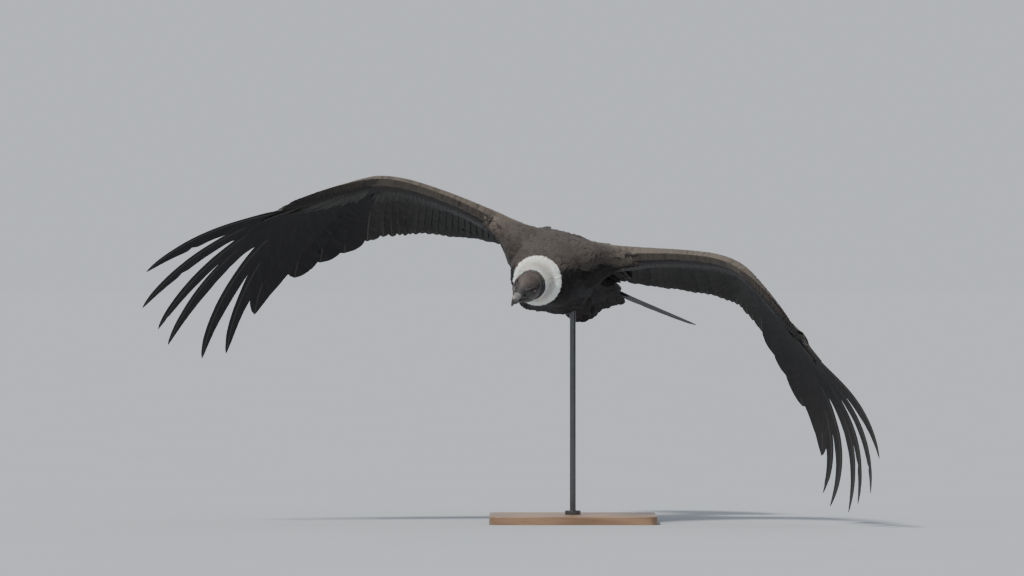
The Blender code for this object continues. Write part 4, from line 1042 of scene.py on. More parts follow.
def make_body_coat(flesh, material, draw):
    """Overlapping feathers all over the body and the shoulders, larger towards the tail."""
    place, normal = flesh_frames(flesh)
    x, y, z = place.T
    out = np.abs(x)
    shoulder = smooth((out - 0.115) / 0.03) * smooth((0.02 - y) / 0.03)
    bound = np.where(out > 0.115, np.interp(out, SHOULDERS[:, 0], SHOULDERS[:, 2]) + 0.02, 0.30)
    fade = smooth((COAT_REACH - out) / 0.06)
    keep = (y > -0.297) & (y < bound) & (out < COAT_REACH) & (draw.random(len(x)) < fade * 2)
    keep &= (z < 0.09) & ~((out > 0.12) & (z < -0.075))
    place, normal, shoulder, fade = place[keep], normal[keep], shoulder[keep], fade[keep]
    share = np.clip(torso_share(place[:, 1]), 0, 1)
    picked = scattered(place, 0.0084 + 0.0066 * share * (1 - shoulder) - 0.0010 * shoulder, draw)
    place, normal, shoulder, fade, share = [rows[picked] for rows in
                                            (place, normal, shoulder, fade, share)]
    x, y, z = place.T
    out = np.abs(x)
    front = smooth((-0.12 - y) / 0.16)
    radial = unit(np.stack([x - NECK[0, 0], 0 * y, z - NECK[1, 2]], -1))
    aside = 0.45 * smooth((out - 0.05) / 0.06) * smooth((0.06 - y) / 0.12)
    aside = aside - 0.22 * smooth((out - 0.13) / 0.08)
    edge = normal[:, 2] * smooth((-normal[:, 1] - 0.1) / 0.5) * smooth((out - 0.06) / 0.09)
    flow = np.stack([np.sign(x) * aside, 1.0 + 0 * x, edge], -1) + radial * front[:, None]
    along = unit(flow - normal * np.sum(flow * normal, -1, keepdims=True))
    along = turned_toward(along, normal, draw.normal(0, 0.09, len(x)))
    long = 0.029 + 0.035 * smooth(share * 1.3) * (1 - shoulder) - 0.003 * shoulder
    long = long * draw.uniform(0.88, 1.12, len(x)) * (0.60 + 0.40 * fade)
    rise = (0.0036 + 0.0034 * share) * (0.40 + 0.60 * fade) * (1 - 0.25 * shoulder)
    belly = smooth((-normal[:, 2] - 0.35) / 0.4) * smooth((0.06 - np.abs(y + 0.09)) / 0.05 + 0.5)
    rise = rise + 0.008 * belly
    points, a = small_vanes(place - normal * 0.0012, normal, along, long, long * 0.52,
                            COAT_STATIONS, SMALL_COLUMNS, rise, 0.0015 + 0 * y, 0.08)
    marks = chance_marks(points, draw)
    # Painted sunlight: over the shade line at the front, and facing upward further back, feathers
    # are brown as if lit, less so towards the tail; near the shoulders' lit edges they get a paler
    # painted highlight.
    sunny = sun_share(x, z)
    brown = np.where(y < -0.10, sunny, smooth((normal[:, 2] + 0.05) / 0.6))
    brown = brown * (1 - 0.5 * smooth((y - 0.02) / 0.2))
    mottle = 0.92 + draw.normal(0, 0.16, len(y))
    marks[..., 2] = np.clip(brown * mottle, 0, 1)[:, None, None]
    lit_edge = smooth((out - 0.13) / 0.10) * sunny * smooth((-0.045 - y) / 0.05)
    marks[..., 1] = np.clip(lit_edge + draw.normal(0, 0.06, len(y)), 0, 1)[:, None, None]
    plumage("body_coat", points, COAT_STATIONS, a, torso_place(place), marks, material, "mantle")


def torso_place(place):
    """Places on the shared unwrap for points about the torso."""
    turn = np.arctan2(place[:, 2] - TORSO_MIDDLE, place[:, 0]) / FULL_TURN
    return skin_map("torso", turn % 1.0, torso_share(place[:, 1]))


# The swell of shoulder and breast that carries each wing: rows outward from the body,
# each x, the section's front and back, its middle's height, and its reach up and down.
SHOULDERS = np.array((
    (0.000, -0.222, 0.060, -0.014, 0.076, 0.080),
    (0.040, -0.226, 0.060, -0.012, 0.076, 0.084),
    (0.080, -0.232, 0.050, -0.008, 0.074, 0.090),
    (0.112, -0.220, 0.030, 0.002, 0.063, 0.080),
    (0.145, -0.186, 0.010, 0.018, 0.049, 0.054),
    (0.175, -0.156, -0.010, 0.034, 0.035, 0.034),
    (0.205, -0.136, -0.030, 0.048, 0.022, 0.023),
    (0.230, -0.126, -0.045, 0.055, 0.012, 0.013),
    (0.250, -0.118, -0.060, 0.058, 0.004, 0.005),
))
SHOULDER_SQUARE = 2.0
SCAPULAR_ROWS = 7
SCAPULAR_COUNT = 11
SHOULDER_DEPTH = 0.006
COAT_REACH = 0.240
# Height of the line across the body under which the breast feathers are painted near black as
# shade; over it they are painted sunlit brown.
SHADE_LINE = ((-0.28, -0.19, -0.145, -0.112, 0.0, 0.07, 0.145, 0.19, 0.28),
              (0.052, 0.022, -0.02, -0.075, -0.09, -0.055, 0.008, 0.026, 0.054))


def sun_share(x, z):
    """How far a place on the breast or the wing roots is over the shade line, 0 to 1: the share of
    painted sunlight there.
    """
    return smooth((z - np.interp(x, SHADE_LINE[0], SHADE_LINE[1])) / 0.016 + 0.5)


def shoulder_points(side, x, turn, depth=0.0):
    """Points of the swell under a wing's root, turn round it from its back over the top."""
    front, back, z, above, below = [np.interp(x, SHOULDERS[:, 0], SHOULDERS[:, i])
                                    for i in range(1, 6)]
    c, s = squared(turn, SHOULDER_SQUARE)
    along = c * ((back - front) / 2 - depth)
    up = s * (np.where(s > 0, above, below) - depth)
    return np.stack([side * (x + 0 * along), (front + back) / 2 + along, z + up], -1)


def make_scapulars(material, draw):
    """Longer feathers from the shoulders, back over the roots of the wings."""
    ys, turns, longs, leans = [], [], [], []
    for row in range(SCAPULAR_ROWS):
        for i in range(SCAPULAR_COUNT):
            x = i / (SCAPULAR_COUNT - 1)
            ys.append(-0.125 + 0.16 * x + 0.004 * (row % 2))
            turns.append(math.radians(74 - 7.5 * row))
            longs.append(0.048 + 0.046 * x + 0.003 * row)
            leans.append(math.radians(2 + 4.5 * row) * (1 - 0.5 * x))
    y, turn, long, lean = [np.array(rows) for rows in (ys, turns, longs, leans)]
    y = np.concatenate([y, y]) + draw.normal(0, 0.002, 2 * len(y))
    side = np.repeat([1.0, -1.0], len(turn))
    turn = np.concatenate([turn, math.pi - turn]) + draw.normal(0, 0.02, len(y))
    long = np.concatenate([long, long]) * draw.uniform(0.92, 1.10, len(y))
    lean = np.concatenate([lean, lean])
    place, normal, along = torso_frames(y, turn, TORSO_COAT + 0.001)
    outward = side * lean * np.sign(np.cross(normal, along)[:, 0])
    along = turned_toward(along, normal, outward + draw.normal(0, 0.05, len(y)))
    width = long * 0.22 + 0.016
    points, a = small_vanes(place, normal, along, long, width, COVERT_STATIONS,
                            GREAT_COLUMNS, np.full(len(y), 0.0095), 0.018 + 0 * y, 0.10)
    marks = chance_marks(points, draw)
    # Painted sunlight: these shoulder feathers are mostly brown, as if lit from above.
    marks[..., 2] = np.clip(0.75 + draw.normal(0, 0.12, len(y)), 0, 1)[:, None, None]
    plumage("scapulars", points, COVERT_STATIONS, a, torso_place(place), marks, material,
            "mantle")


# Legs

THIGH = np.array(((0.056, 0.020, -0.094, 0.036), (0.068, 0.050, -0.106, 0.045),
                  (0.073, 0.092, -0.113, 0.043), (0.069, 0.135, -0.117, 0.031),
                  (0.062, 0.168, -0.122, 0.020)))
TARSUS = np.array(((0.0630, 0.160, -0.1240, 0.0105), (0.061, 0.182, -0.120, 0.0115),
                   (0.058, 0.208, -0.109, 0.0100), (0.053, 0.246, -0.090, 0.0100),
                   (0.050, 0.268, -0.079, 0.0120)))
TOE_ROOT = np.array((0.050, 0.270, -0.078))
TOES = ((-24, -8, 0.070, 0.0082), (0, -6, 0.096, 0.0090), (26, -8, 0.066, 0.0080),
        (146, -52, 0.028, 0.0070))
TOE_BEND = math.radians(26)
CLAW = 0.026
CLAW_BEND = math.radians(42)
THIGH_COAT = 0.007
FOOT_VOXEL = 0.0014
BODY_VOXEL = 0.0036
HEAD_VOXEL = 0.0009


def smoothed(rows, count):
    """Stations along a given list of rows, interpolated smoothly."""
    rows = np.asarray(rows, float)
    at = np.linspace(0, len(rows) - 1, count)
    low = np.clip(at.astype(int), 0, len(rows) - 2)
    t = (at - low)[:, None]
    padded = np.concatenate([2 * rows[:1] - rows[1:2], rows, 2 * rows[-1:] - rows[-2:-1]])
    a, b, c, d = padded[low], padded[low + 1], padded[low + 2], padded[low + 3]
    return 0.5 * (2 * b + (c - a) * t + (2 * a - 5 * b + 4 * c - d) * t ** 2
                  + (3 * b - a - 3 * c + d) * t ** 3)


def tube_points(path, radius, ring):
    """Rings of points about a path."""
    path = np.asarray(path, float)
    along = unit(np.gradient(path, axis=0))
    side = np.cross(along, UP)
    side = unit(np.where(np.linalg.norm(side, axis=1, keepdims=True) < 0.1,
                         np.cross(along, (1.0, 0.0, 0.0)), side))
    up = np.cross(side, along)
    turn = ring_turns(ring)
    out = (side[:, None] * np.cos(turn)[None, :, None] + up[:, None] * np.sin(turn)[None, :, None])
    return path[:, None] + out * np.asarray(radius, float)[:, None, None]


def loft_object(name, points):
    """A closed object through (stations, ring, 3) points of the bird, capped with quads."""
    item = new_mesh(name, to_world(points), tube_faces(*points.shape[:2]))
    face_out(item)
    return item


def face_out(item):
    mesh = bmesh.new()
    mesh.from_mesh(item.data)
    bmesh.ops.recalc_face_normals(mesh, faces=mesh.faces)
    mesh.to_mesh(item.data)
    mesh.free()


def curl_path(start, turn, dip, length, bend, steps):
    """A path that starts back along Y, turned sideways, and curls down as it goes."""
    points = [np.array(start, float)]
    for i in range(steps):
        fall = dip - bend * (i + 0.5) / steps
        step = np.array([math.sin(turn) * math.cos(fall), math.cos(turn) * math.cos(fall),
                         math.sin(fall)])
        points.append(points[-1] + step * (length / steps))
    return np.array(points)


def applied(item, kind, **settings):
    """Add a modifier, apply it, and hand the object back."""
    modifier = item.modifiers.new(kind.lower(), kind)
    for key, value in settings.items():
        setattr(modifier, key, value)
    graph = bpy.context.evaluated_depsgraph_get()
    data = bpy.data.meshes.new_from_object(item.evaluated_get(graph))
    item.modifiers.clear()
    old = item.data
    item.data = data
    bpy.data.meshes.remove(old)
    return item


def joined(name, items):
    """One object from several, their meshes side by side."""
    mesh = bmesh.new()
    for item in items:
        mesh.from_mesh(item.data)
    data = bpy.data.meshes.new(name)
    mesh.to_mesh(data)
    mesh.free()
    for item in items:
        bpy.data.objects.remove(item, do_unlink=True)
    return in_scene(name, data)


def remeshed(name, parts, voxel, passes):
    """One closed surface round several, smoothed a number of times."""
    item = applied(joined(name, parts), "REMESH", mode="VOXEL", voxel_size=voxel,
                   use_smooth_shade=True)
    return applied(item, "SMOOTH", factor=0.5, iterations=passes)


def mesh_points(item):
    points = np.zeros(len(item.data.vertices) * 3, np.float32)
    item.data.vertices.foreach_get("co", points)
    return points.reshape(-1, 3).astype(float)


def mesh_normals(item):
    normals = np.zeros(len(item.data.vertices) * 3, np.float32)
    item.data.vertex_normals.foreach_get("vector", normals)
    return normals.reshape(-1, 3)


def set_points(item, points):
    item.data.vertices.foreach_set("co", np.asarray(points, np.float32).ravel())
    item.data.update()


def make_leg(name, side, skin_scales, claw_horn):
    """Scaled tarsus and toes in one remeshed piece, and a polished claw on each toe."""
    mirror = MIRROR[side]
    parts = []
    shank = smoothed(TARSUS, 26)
    parts.append(loft_object("shank", tube_points(shank[:, :3] * mirror, shank[:, 3], 20)))
    knob = TOE_ROOT + np.array(((0, -0.014, 0.002), (0, 0, 0), (0, 0.016, -0.003)))
    parts.append(loft_object("knob", tube_points(knob * mirror, [0.009, 0.0135, 0.010], 20)))
    for number, (turn, dip, length, radius) in enumerate(TOES, 1):
        turn = math.radians(turn) * side
        path = curl_path(TOE_ROOT * mirror, turn, math.radians(dip), length, TOE_BEND, 24)
        share = np.linspace(0.0, 1.0, len(path))
        sizes = radius * np.interp(share, (0, 0.25, 0.5, 0.75, 1.0), (1.0, 0.95, 1.0, 0.84, 0.66))
        pads = 1.0 + 0.07 * np.cos(share * FULL_TURN * (3 if number != 4 else 2))
        scutes = 1.0 + 0.030 * np.abs(np.sin(share * math.pi * length / 0.0052))
        parts.append(loft_object("toe", tube_points(path, sizes * pads * scutes, 18)))
        dip_end = math.radians(dip) - TOE_BEND * 0.9
        long = CLAW * (1.0 if number < 4 else 0.8)
        heading = unit(path[-1] - path[-2])
        hook = curl_path(path[-1] - heading * 0.005, turn, dip_end, long, CLAW_BEND, 16)
        at = np.linspace(0.0, 1.0, len(hook))
        thick = radius * np.interp(at, (0, 0.25, 0.5, 0.75, 1.0), (0.52, 0.50, 0.38, 0.24, 0.05))
        claw = loft_object("claw_%s_%d_horn" % (name, number), tube_points(hook, thick, 16))
        mark_along(claw, len(hook), 16)
        attach(claw, claw_horn, "claw_horn", "claw_%s_%d" % (name, number))
    foot = remeshed("leg_%s_scales" % name, parts, FOOT_VOXEL, 2)
    attach(foot, skin_scales, "foot_scales", "tarsus_" + name, "foot_" + name)


def make_thigh_coat(name, side, material, draw):
    """Loose dark feathers down the thigh, over the heel."""
    stations = smoothed(THIGH, 60)
    mirror = MIRROR[side]
    centre = stations[:, :3] * mirror
    along = unit(np.gradient(centre, axis=0))
    places, normals, alongs, longs, roots = [], [], [], [], []
    s = 0.02
    row = 0
    while s < 0.97:
        at = s * (len(stations) - 1)
        low = int(at)
        middle = centre[low]
        radius = stations[low, 3] - THIGH_COAT
        forward = along[low]
        right = unit(np.cross(forward, UP))
        up = np.cross(right, forward)
        count = max(10, int(FULL_TURN * radius / 0.0105))
        turn = FULL_TURN * (np.arange(count) + 0.5 * (row % 2)) / count
        turn = turn + draw.normal(0, 0.05, count)
        out = circle(right, up, turn)
        places.append(middle + out * radius)
        normals.append(out)
        alongs.append(unit(forward + out * 0.05 + draw.normal(0, 0.06, (count, 3))))
        longs.append(np.full(count, 0.034 + 0.014 * s) * draw.uniform(0.85, 1.15, count))
        roots.append(skin_map("thigh_" + name, (turn / FULL_TURN) % 1.0, s + 0 * turn))
        s += 0.055
        row += 1
    place, normal, forward, long, root = [np.concatenate(rows) for rows in
                                          (places, normals, alongs, longs, roots)]
    points, a = small_vanes(place, normal, forward, long, long * 0.5, SMALL_STATIONS,
                            SMALL_COLUMNS, np.full(len(long), 0.0048), 0.003 + 0 * long)
    marks = chance_marks(points, draw)
    marks[..., 2] = 0.12
    plumage("thigh_coat_" + name, points, SMALL_STATIONS, a, root, marks, material,
            "body_feathers", "thigh_" + name)


# Tail

TAIL_AT = (0.0, 0.262, 0.006)
TAIL_TURN = math.radians(12.0)
TAIL_LIFT = math.radians(-1.6)
TAIL_ROLL = math.radians(6.8)
TAIL_SPREAD = math.radians(53.0)
TAIL_LENGTH = 0.432
TAIL_PAIRS = 6
TAIL_VANE = (0.034, 0.050)
TAIL_STEP = 0.0024
TAIL_FIRST = math.radians(3.5)
TAIL_START = 0.068
# Rows of coverts over and under the tail: where they root, their length, how many there are
# on each side, and how high they stand.
TAIL_TIERS = ((0.062, 0.150, 13, 0.0052), (0.045, 0.120, 12, 0.0075),
              (0.025, 0.105, 11, 0.0100), (0.005, 0.090, 10, 0.0118))


def tail_rows():
    """The tail's frame in the bird's."""
    turn = (Matrix.Rotation(-TAIL_TURN, 4, "Z") @ Matrix.Rotation(TAIL_ROLL, 4, "Y")
            @ Matrix.Rotation(TAIL_LIFT, 4, "X"))
    return np.array(Matrix.Translation(TAIL_AT) @ turn)


TAIL_ROWS = tail_rows()


def tail_vanes(side, u, v, turn, bend, length, shares, ahead, behind, height, tilt, columns):
    """Points of feathers laid flat on the tail's fan, side by side."""
    a, face = across_columns(columns)
    reach = np.where(a > 0, ahead[..., None] * a, behind[..., None] * a)
    near_shaft = (np.abs(a) < 0.1) & (np.abs(a) > 0)
    reach = np.where(near_shaft, np.sign(a) * SHAFT_COLUMN, reach)
    half = np.where(np.abs(a) < 0.1, 0.0009 * (1 - 0.6 * shares[:, None]), WEB_HALF)
    h = height[..., None] + tilt * reach - 0.03 * np.abs(reach) + face * half
    at_u, at_v = laid_flat(u, v, turn, bend, length, shares, reach)
    return moved(np.stack([side * at_u, at_v, h], -1), TAIL_ROWS), a


def make_tail(flight, body, draw):
    """The fan of tail feathers, and rows of coverts over and under its root."""
    shares = SECONDARY_STATIONS
    j = np.arange(TAIL_PAIRS)
    x = j / (TAIL_PAIRS - 1.0)
    fans = []
    for side in SIDES:
        turn = math.pi / 2 - (TAIL_FIRST + (TAIL_SPREAD - TAIL_FIRST) * x)
        height = 0.0035 - TAIL_STEP * j + (TAIL_STEP * 0.5 if side < 0 else 0.0)
        ahead, behind = [
            spread(shares[None], 0.003, np.full((TAIL_PAIRS, 1), full), 0.003, 0.3, round_off)
            for full, round_off in zip(TAIL_VANE, (0.86, 0.84))]
        ahead = ahead * frayed(draw, TAIL_PAIRS, shares, 0.2, 0.2)
        behind = behind * frayed(draw, TAIL_PAIRS, shares, 0.3, 0.2)
        long = (TAIL_LENGTH - 0.010 * x - 0.046) * draw.uniform(0.99, 1.01, TAIL_PAIRS)
        points, a = tail_vanes(side, 0.004 + 0.020 * x, 0.0 * x + TAIL_START, turn,
                               np.full(TAIL_PAIRS, math.radians(4)), long, shares, ahead,
                               behind, np.repeat(height[:, None], len(shares), 1), 0.03,
                               FLIGHT_COLUMNS)
        fans.append(points)
    points = np.concatenate(fans)
    marks = chance_marks(points, draw)
    plumage("tail_feathers", points, shares, a, 6, marks, flight, "flight_feathers", "tail")
    rows, roots = [], []
    for over in SIDES:
        for start, long, count, rise in TAIL_TIERS:
            fall = 1.0 if over > 0 else 1.7
            for side in SIDES:
                share = (np.arange(count) + 0.5) / count
                turn = math.pi / 2 - TAIL_SPREAD * 0.92 * share
                height = (over * rise * fall * (1 - 0.35 * share)
                          - TAIL_STEP * (TAIL_PAIRS - 1) * 0.9 * share)
                lift = height[:, None] * (0.55 + 0.45 * smooth(COVERT_STATIONS / 0.5))[None]
                wide = np.full((count, 1), 0.021)
                half = spread(COVERT_STATIONS[None], 0.005, wide, 0.003, 0.3, 0.68)
                points, a = tail_vanes(side, 0.003 + 0.022 * share, start + 0 * share, turn,
                                       0 * share, long * draw.uniform(0.93, 1.07, count),
                                       COVERT_STATIONS, half, half, lift, 0.05 * over,
                                       GREAT_COLUMNS)
                rows.append(points)
                roots.append(skin_map("tail", 0.5 + 0.5 * side * share, start * 4 + 0 * share))
    points = np.concatenate(rows)
    marks = chance_marks(points, draw)
    marks[..., 2] = 0.15
    plumage("tail_coverts", points, COVERT_STATIONS, a, np.concatenate(roots), marks, body,
            "body_feathers")


# Flanks

FLANK_ROWS = 5
FLANK_COUNT = 20
# Where the feathers of the flank root, and how far they reach, from thigh to wing.
FLANK_AT = (0.0, 0.25, 0.5, 0.72, 0.86, 1.0)
FLANK_ROOTS = np.array(((0.078, 0.070, -0.112), (0.078, 0.105, -0.085), (0.080, 0.135, -0.045),
                        (0.092, 0.070, -0.005), (0.110, 0.045, 0.018), (0.128, 0.040, 0.032)))
FLANK_TIPS = np.array(((0.116, 0.155, -0.123), (0.131, 0.215, -0.088), (0.168, 0.292, -0.052),
                       (0.150, 0.200, -0.010), (0.176, 0.196, -0.004), (0.208, 0.190, 0.000)))


def make_flanks(material, draw):
    """Long loose feathers of the flanks and armpits, flared between thigh and wing."""
    places, normals, alongs, longs = [], [], [], []
    for side in SIDES:
        mirror = MIRROR[side]
        for row in range(FLANK_ROWS):
            share = (np.arange(FLANK_COUNT) + 0.5 * (row % 2)) / (FLANK_COUNT - 0.5)
            root, tip = [np.stack([np.interp(share, FLANK_AT, rows[:, i]) for i in range(3)], -1)
                         for rows in (FLANK_ROOTS, FLANK_TIPS)]
            root = root + np.array([0.004, -0.022, 0.0]) * row
            reach = (tip - root) * (1 - 0.11 * row) + draw.normal(0, 0.004, (FLANK_COUNT, 3))
            along = unit(reach)
            places.append(root * mirror)
            alongs.append(along * mirror)
            flat = smooth((share - 0.60) / 0.15)[:, None]
            upright = unit(np.cross(along, UP))
            level = unit(np.cross(np.array([1.0, 0.0, 0.1]), along))
            normals.append(unit(upright * (1 - flat) + level * flat) * mirror)
            longs.append(np.linalg.norm(reach, axis=1) * draw.uniform(0.92, 1.03, FLANK_COUNT))
    place, normal, along, long = [np.concatenate(rows) for rows in
                                  (places, normals, alongs, longs)]
    count = len(long)
    points, a = small_vanes(place, normal, along, long, 0.026 + long * 0.05,
                            COVERT_STATIONS, GREAT_COLUMNS, np.full(count, 0.004),
                            0.004 + 0 * long, 0.10)
    marks = chance_marks(points, draw)
    plumage("flank_feathers", points, COVERT_STATIONS, a, torso_place(place), marks, material,
            "body_feathers")


# Ruff

RUFF_AT = np.array((0.004, -0.297, -0.1065))
RUFF_AXIS = np.array((-0.08, -0.95, -0.22)) / math.sqrt(0.08 ** 2 + 0.95 ** 2 + 0.22 ** 2)
RUFF_RADIUS = 0.0545
RUFF_TUBE = 0.0095
RUFF_DOWN = 7000
COLLAR_DOWN = 4200
DOWN_STATIONS = np.array([0.0, 0.25, 0.5, 0.75, 1.0])


def ruff_frame():
    """Sideways and upward directions of the ruff's ring."""
    side = unit(np.cross(RUFF_AXIS, UP))
    return side, np.cross(side, RUFF_AXIS)


def make_ruff(material, draw):
    """White down in many soft, thin, curling tufts that flow outward from the neck."""
    side, up = ruff_frame()
    ring, sides = 96, 24
    out, lean = circle(side, up, ring_turns(ring)), ring_turns(sides)
    tube = (out[:, None] * (RUFF_RADIUS + RUFF_TUBE * np.cos(lean))[None, :, None]
            + RUFF_AXIS * (RUFF_TUBE * np.sin(lean))[None, :, None]) + RUFF_AT
    i, k = np.indices((ring, sides)).reshape(2, -1)
    j, n = (i + 1) % ring, (k + 1) % sides
    faces = np.stack([i * sides + k, i * sides + n, j * sides + n, j * sides + k], 1)
    core = new_mesh("ruff_core", to_world(tube), faces)
    face_out(core)
    set_uv(core, skin_map("head", i / ring, 0.85 + 0.14 * (k / sides)))
    set_marks(core, np.tile((0.5, 0.6, 0.0), (ring * sides, 1)))
    attach(core, material, "ruff_down")
    turn = draw.uniform(0, FULL_TURN, RUFF_DOWN)
    lean = math.radians(150) - math.radians(235) * draw.random(RUFF_DOWN) ** 0.9
    out = circle(side, up, turn)
    normal = out * np.cos(lean)[:, None] + RUFF_AXIS * np.sin(lean)[:, None]
    flow = out * np.sin(lean)[:, None] - RUFF_AXIS * np.cos(lean)[:, None]
    place = RUFF_AT + out * RUFF_RADIUS + normal * (RUFF_TUBE - 0.002)
    inner = smooth((lean - math.radians(70)) / math.radians(60))
    stand = 0.42 - 0.25 * inner
    along = unit(flow + normal * (stand + draw.normal(0, 0.13, RUFF_DOWN))[:, None]
                 + np.cross(RUFF_AXIS, out) * draw.normal(0, 0.14, RUFF_DOWN)[:, None])
    long = draw.uniform(0.0120, 0.0185, RUFF_DOWN) * (1 - 0.30 * inner)
    width = draw.uniform(0.0018, 0.0034, RUFF_DOWN)
    spot = draw.random(COLLAR_DOWN)
    around = draw.uniform(0, FULL_TURN, COLLAR_DOWN)
    neck = np.stack([np.interp(-NECK[0, 1] + 0.062 + 0.036 * spot, -NECK[:, 1], NECK[:, i])
                     for i in range(4)], -1)
    radial = circle(side, up, around)
    place = np.concatenate([place, neck[:, :3] + radial * (neck[:, 3:] - 0.003)])
    normal = np.concatenate([normal, radial])
    lie = (RUFF_AXIS * (0.10 + 0.75 * spot)[:, None] + radial * (1.0 - 0.45 * spot)[:, None]
           + draw.normal(0, 0.14, (COLLAR_DOWN, 3)))
    along = np.concatenate([along, unit(lie)])
    long = np.concatenate([long, draw.uniform(0.85, 1.15, COLLAR_DOWN) * (0.0185 - 0.0075 * spot)])
    width = np.concatenate([width, draw.uniform(0.0016, 0.0030, COLLAR_DOWN)])
    turn = np.concatenate([turn, around])
    lean = np.concatenate([lean, math.pi * (0.7 + 0.3 * spot)])
    count = len(turn)
    points, a = small_vanes(place, normal, along, long, width, DOWN_STATIONS,
                            SMALL_COLUMNS, np.full(count, 0.0004),
                            draw.uniform(0.012, 0.030, count), 0.20)
    marks = chance_marks(points, draw)
    # The second mark rises from root to tip, so the down is painted grey at its root as shade.
    marks[..., 1] = (0.25 + 0.75 * DOWN_STATIONS)[None, :, None]
    roots = skin_map("head", (turn / FULL_TURN) % 1.0, 0.85 + 0.14 * lean / math.pi)
    plumage("ruff_tufts", points, DOWN_STATIONS, a, roots, marks, material, "ruff_down", "ruff")


# Head, in its own frame: it faces -Y, crown up

HEAD_AT = Vector((-0.0030, -0.400, -0.143))
HEAD_YAW = math.radians(-4.3)
HEAD_PITCH = math.radians(25.4)
HEAD_ROLL = math.radians(8.0)
HEAD = (
    (0.052, 0.0, -0.006, 0.012, 0.016, 0.014),
    (0.047, 0.0, -0.005, 0.024, 0.028, 0.026),
    (0.036, 0.0, -0.004, 0.034, 0.038, 0.039),
    (0.018, 0.0, -0.002, 0.0385, 0.042, 0.045),
    (0.000, 0.0, 0.000, 0.0385, 0.041, 0.045),
    (-0.018, 0.0, -0.001, 0.034, 0.036, 0.040),
    (-0.034, 0.0, -0.003, 0.026, 0.029, 0.031),
    (-0.048, 0.0, -0.006, 0.019, 0.023, 0.022),
    (-0.060, 0.0, -0.009, 0.0155, 0.020, 0.0150),
    (-0.070, 0.0, -0.010, 0.0135, 0.0175, 0.0115),
    (-0.074, 0.0, -0.010, 0.0120, 0.0155, 0.0095),
)
HEAD_STATIONS = 90
SKULL_SQUARE = 2.1
BILL_SQUARE = 2.3
EYE_AT = np.array((0.0255, -0.0230, 0.0095))
EYE_RADIUS = 0.0092
SOCKET = 0.0107
LOOK = np.array((1.0, -0.38, 0.10))
EAR_AT = np.array((0.0370, 0.0140, -0.0080))
BRISTLES = 1400
BRISTLE_STATIONS = np.array([0.0, 0.5, 1.0])
BARE_ROUND_EYE = 0.0150
NOSTRIL_AT = np.array((0.0150, -0.0575, -0.0020))
FAR = 9.0
BILL_SEAM = -0.0150
UPPER_BILL = (
    (-0.066, 0.0090, 0.000, 0.0060), (-0.078, 0.0112, 0.006, 0.0165),
    (-0.088, 0.0108, 0.0065, 0.0180), (-0.098, 0.0096, 0.005, 0.0180),
    (-0.106, 0.0080, 0.001, 0.0160), (-0.1115, 0.0058, -0.006, 0.0140),
    (-0.1132, 0.0038, -0.0135, 0.0112), (-0.1143, 0.0021, -0.0205, 0.0060),
)
LOWER_BILL = (
    (-0.062, 0.0090, 0.0070), (-0.076, 0.0098, 0.0100), (-0.088, 0.0086, 0.0100),
    (-0.098, 0.0066, 0.0080), (-0.1045, 0.0040, 0.0040),
)
# Ridges on the left of the head, and the chin: places along each, and its radius there.
RIDGES = {
    "brow": ((0.011, -0.050, 0.0110, 0.0020), (0.0210, -0.041, 0.0150, 0.0032),
             (0.0278, -0.030, 0.0178, 0.0040), (0.0300, -0.018, 0.0188, 0.0040),
             (0.0312, -0.004, 0.0165, 0.0026), (0.0305, 0.008, 0.0130, 0.0016)),
    "gape": ((0.0095, -0.070, BILL_SEAM - 0.002, 0.0026),
             (0.0170, -0.052, BILL_SEAM - 0.002, 0.0036),
             (0.0250, -0.034, BILL_SEAM - 0.001, 0.0036), (0.0295, -0.020, BILL_SEAM, 0.0024)),
    "cheek": ((0.020, -0.040, -0.010, 0.0060), (0.0275, -0.022, -0.008, 0.0085),
              (0.0305, -0.002, -0.010, 0.0095), (0.0290, 0.016, -0.014, 0.0080)),
}
CHIN = ((0.0, -0.060, -0.0215, 0.0045), (0.0, -0.042, -0.0290, 0.0060),
        (0.0, -0.020, -0.0385, 0.0060), (0.0, 0.004, -0.0410, 0.0050))
HEAD_ROWS = np.array(Matrix.Translation(HEAD_AT) @ Matrix.Rotation(HEAD_YAW, 4, "Z")
                     @ Matrix.Rotation(HEAD_PITCH, 4, "X") @ Matrix.Rotation(HEAD_ROLL, 4, "Y"))
BIRD_TO_HEAD = np.linalg.inv(HEAD_ROWS)


def oval_rings(rows, ring, power):
    """Rings across Y from rows of (y, x, z, half width, above, below)."""
    c, s = squared(ring_turns(ring), power)
    points = np.zeros((len(rows), ring, 3))
    points[..., 0] = rows[:, 1, None] + c * rows[:, 3, None]
    points[..., 1] = rows[:, 0, None]
    points[..., 2] = rows[:, 2, None] + s * np.where(s > 0, rows[:, 4, None], rows[:, 5, None])
    return points


def head_loft(name, points):
    return loft_object(name, moved(points, HEAD_ROWS))


def head_tube(name, path):
    path = smoothed(path, 24)
    return head_loft(name, tube_points(path[:, :3], path[:, 3], 14))


def wing_flesh(wing):
    """The wing's arm and hand under its feathers."""
    end = wing.wrist + 1.10 * HAND * math.cos(wing.hand_sweep)
    u = np.linspace(-0.045, end, 90)[:, None]
    x = np.linspace(0.0, 1.0, 13)
    x = np.concatenate([x ** 1.4, x[::-1] ** 1.4])
    side = np.repeat([1.0, -1.0], 13)
    chord, _, ahead, droop = flesh_of(wing, u)
    b = x * (chord + ahead) * 0.97 - ahead + 0.0015
    h = surface(wing, u, b, side)
    middle = droop * np.ones_like(x)
    h = middle + side * np.maximum(np.abs(h - middle) - 0.0004, 0.0022)
    return loft_object("flesh", wing.place(u, wing.front(u) + b, h))


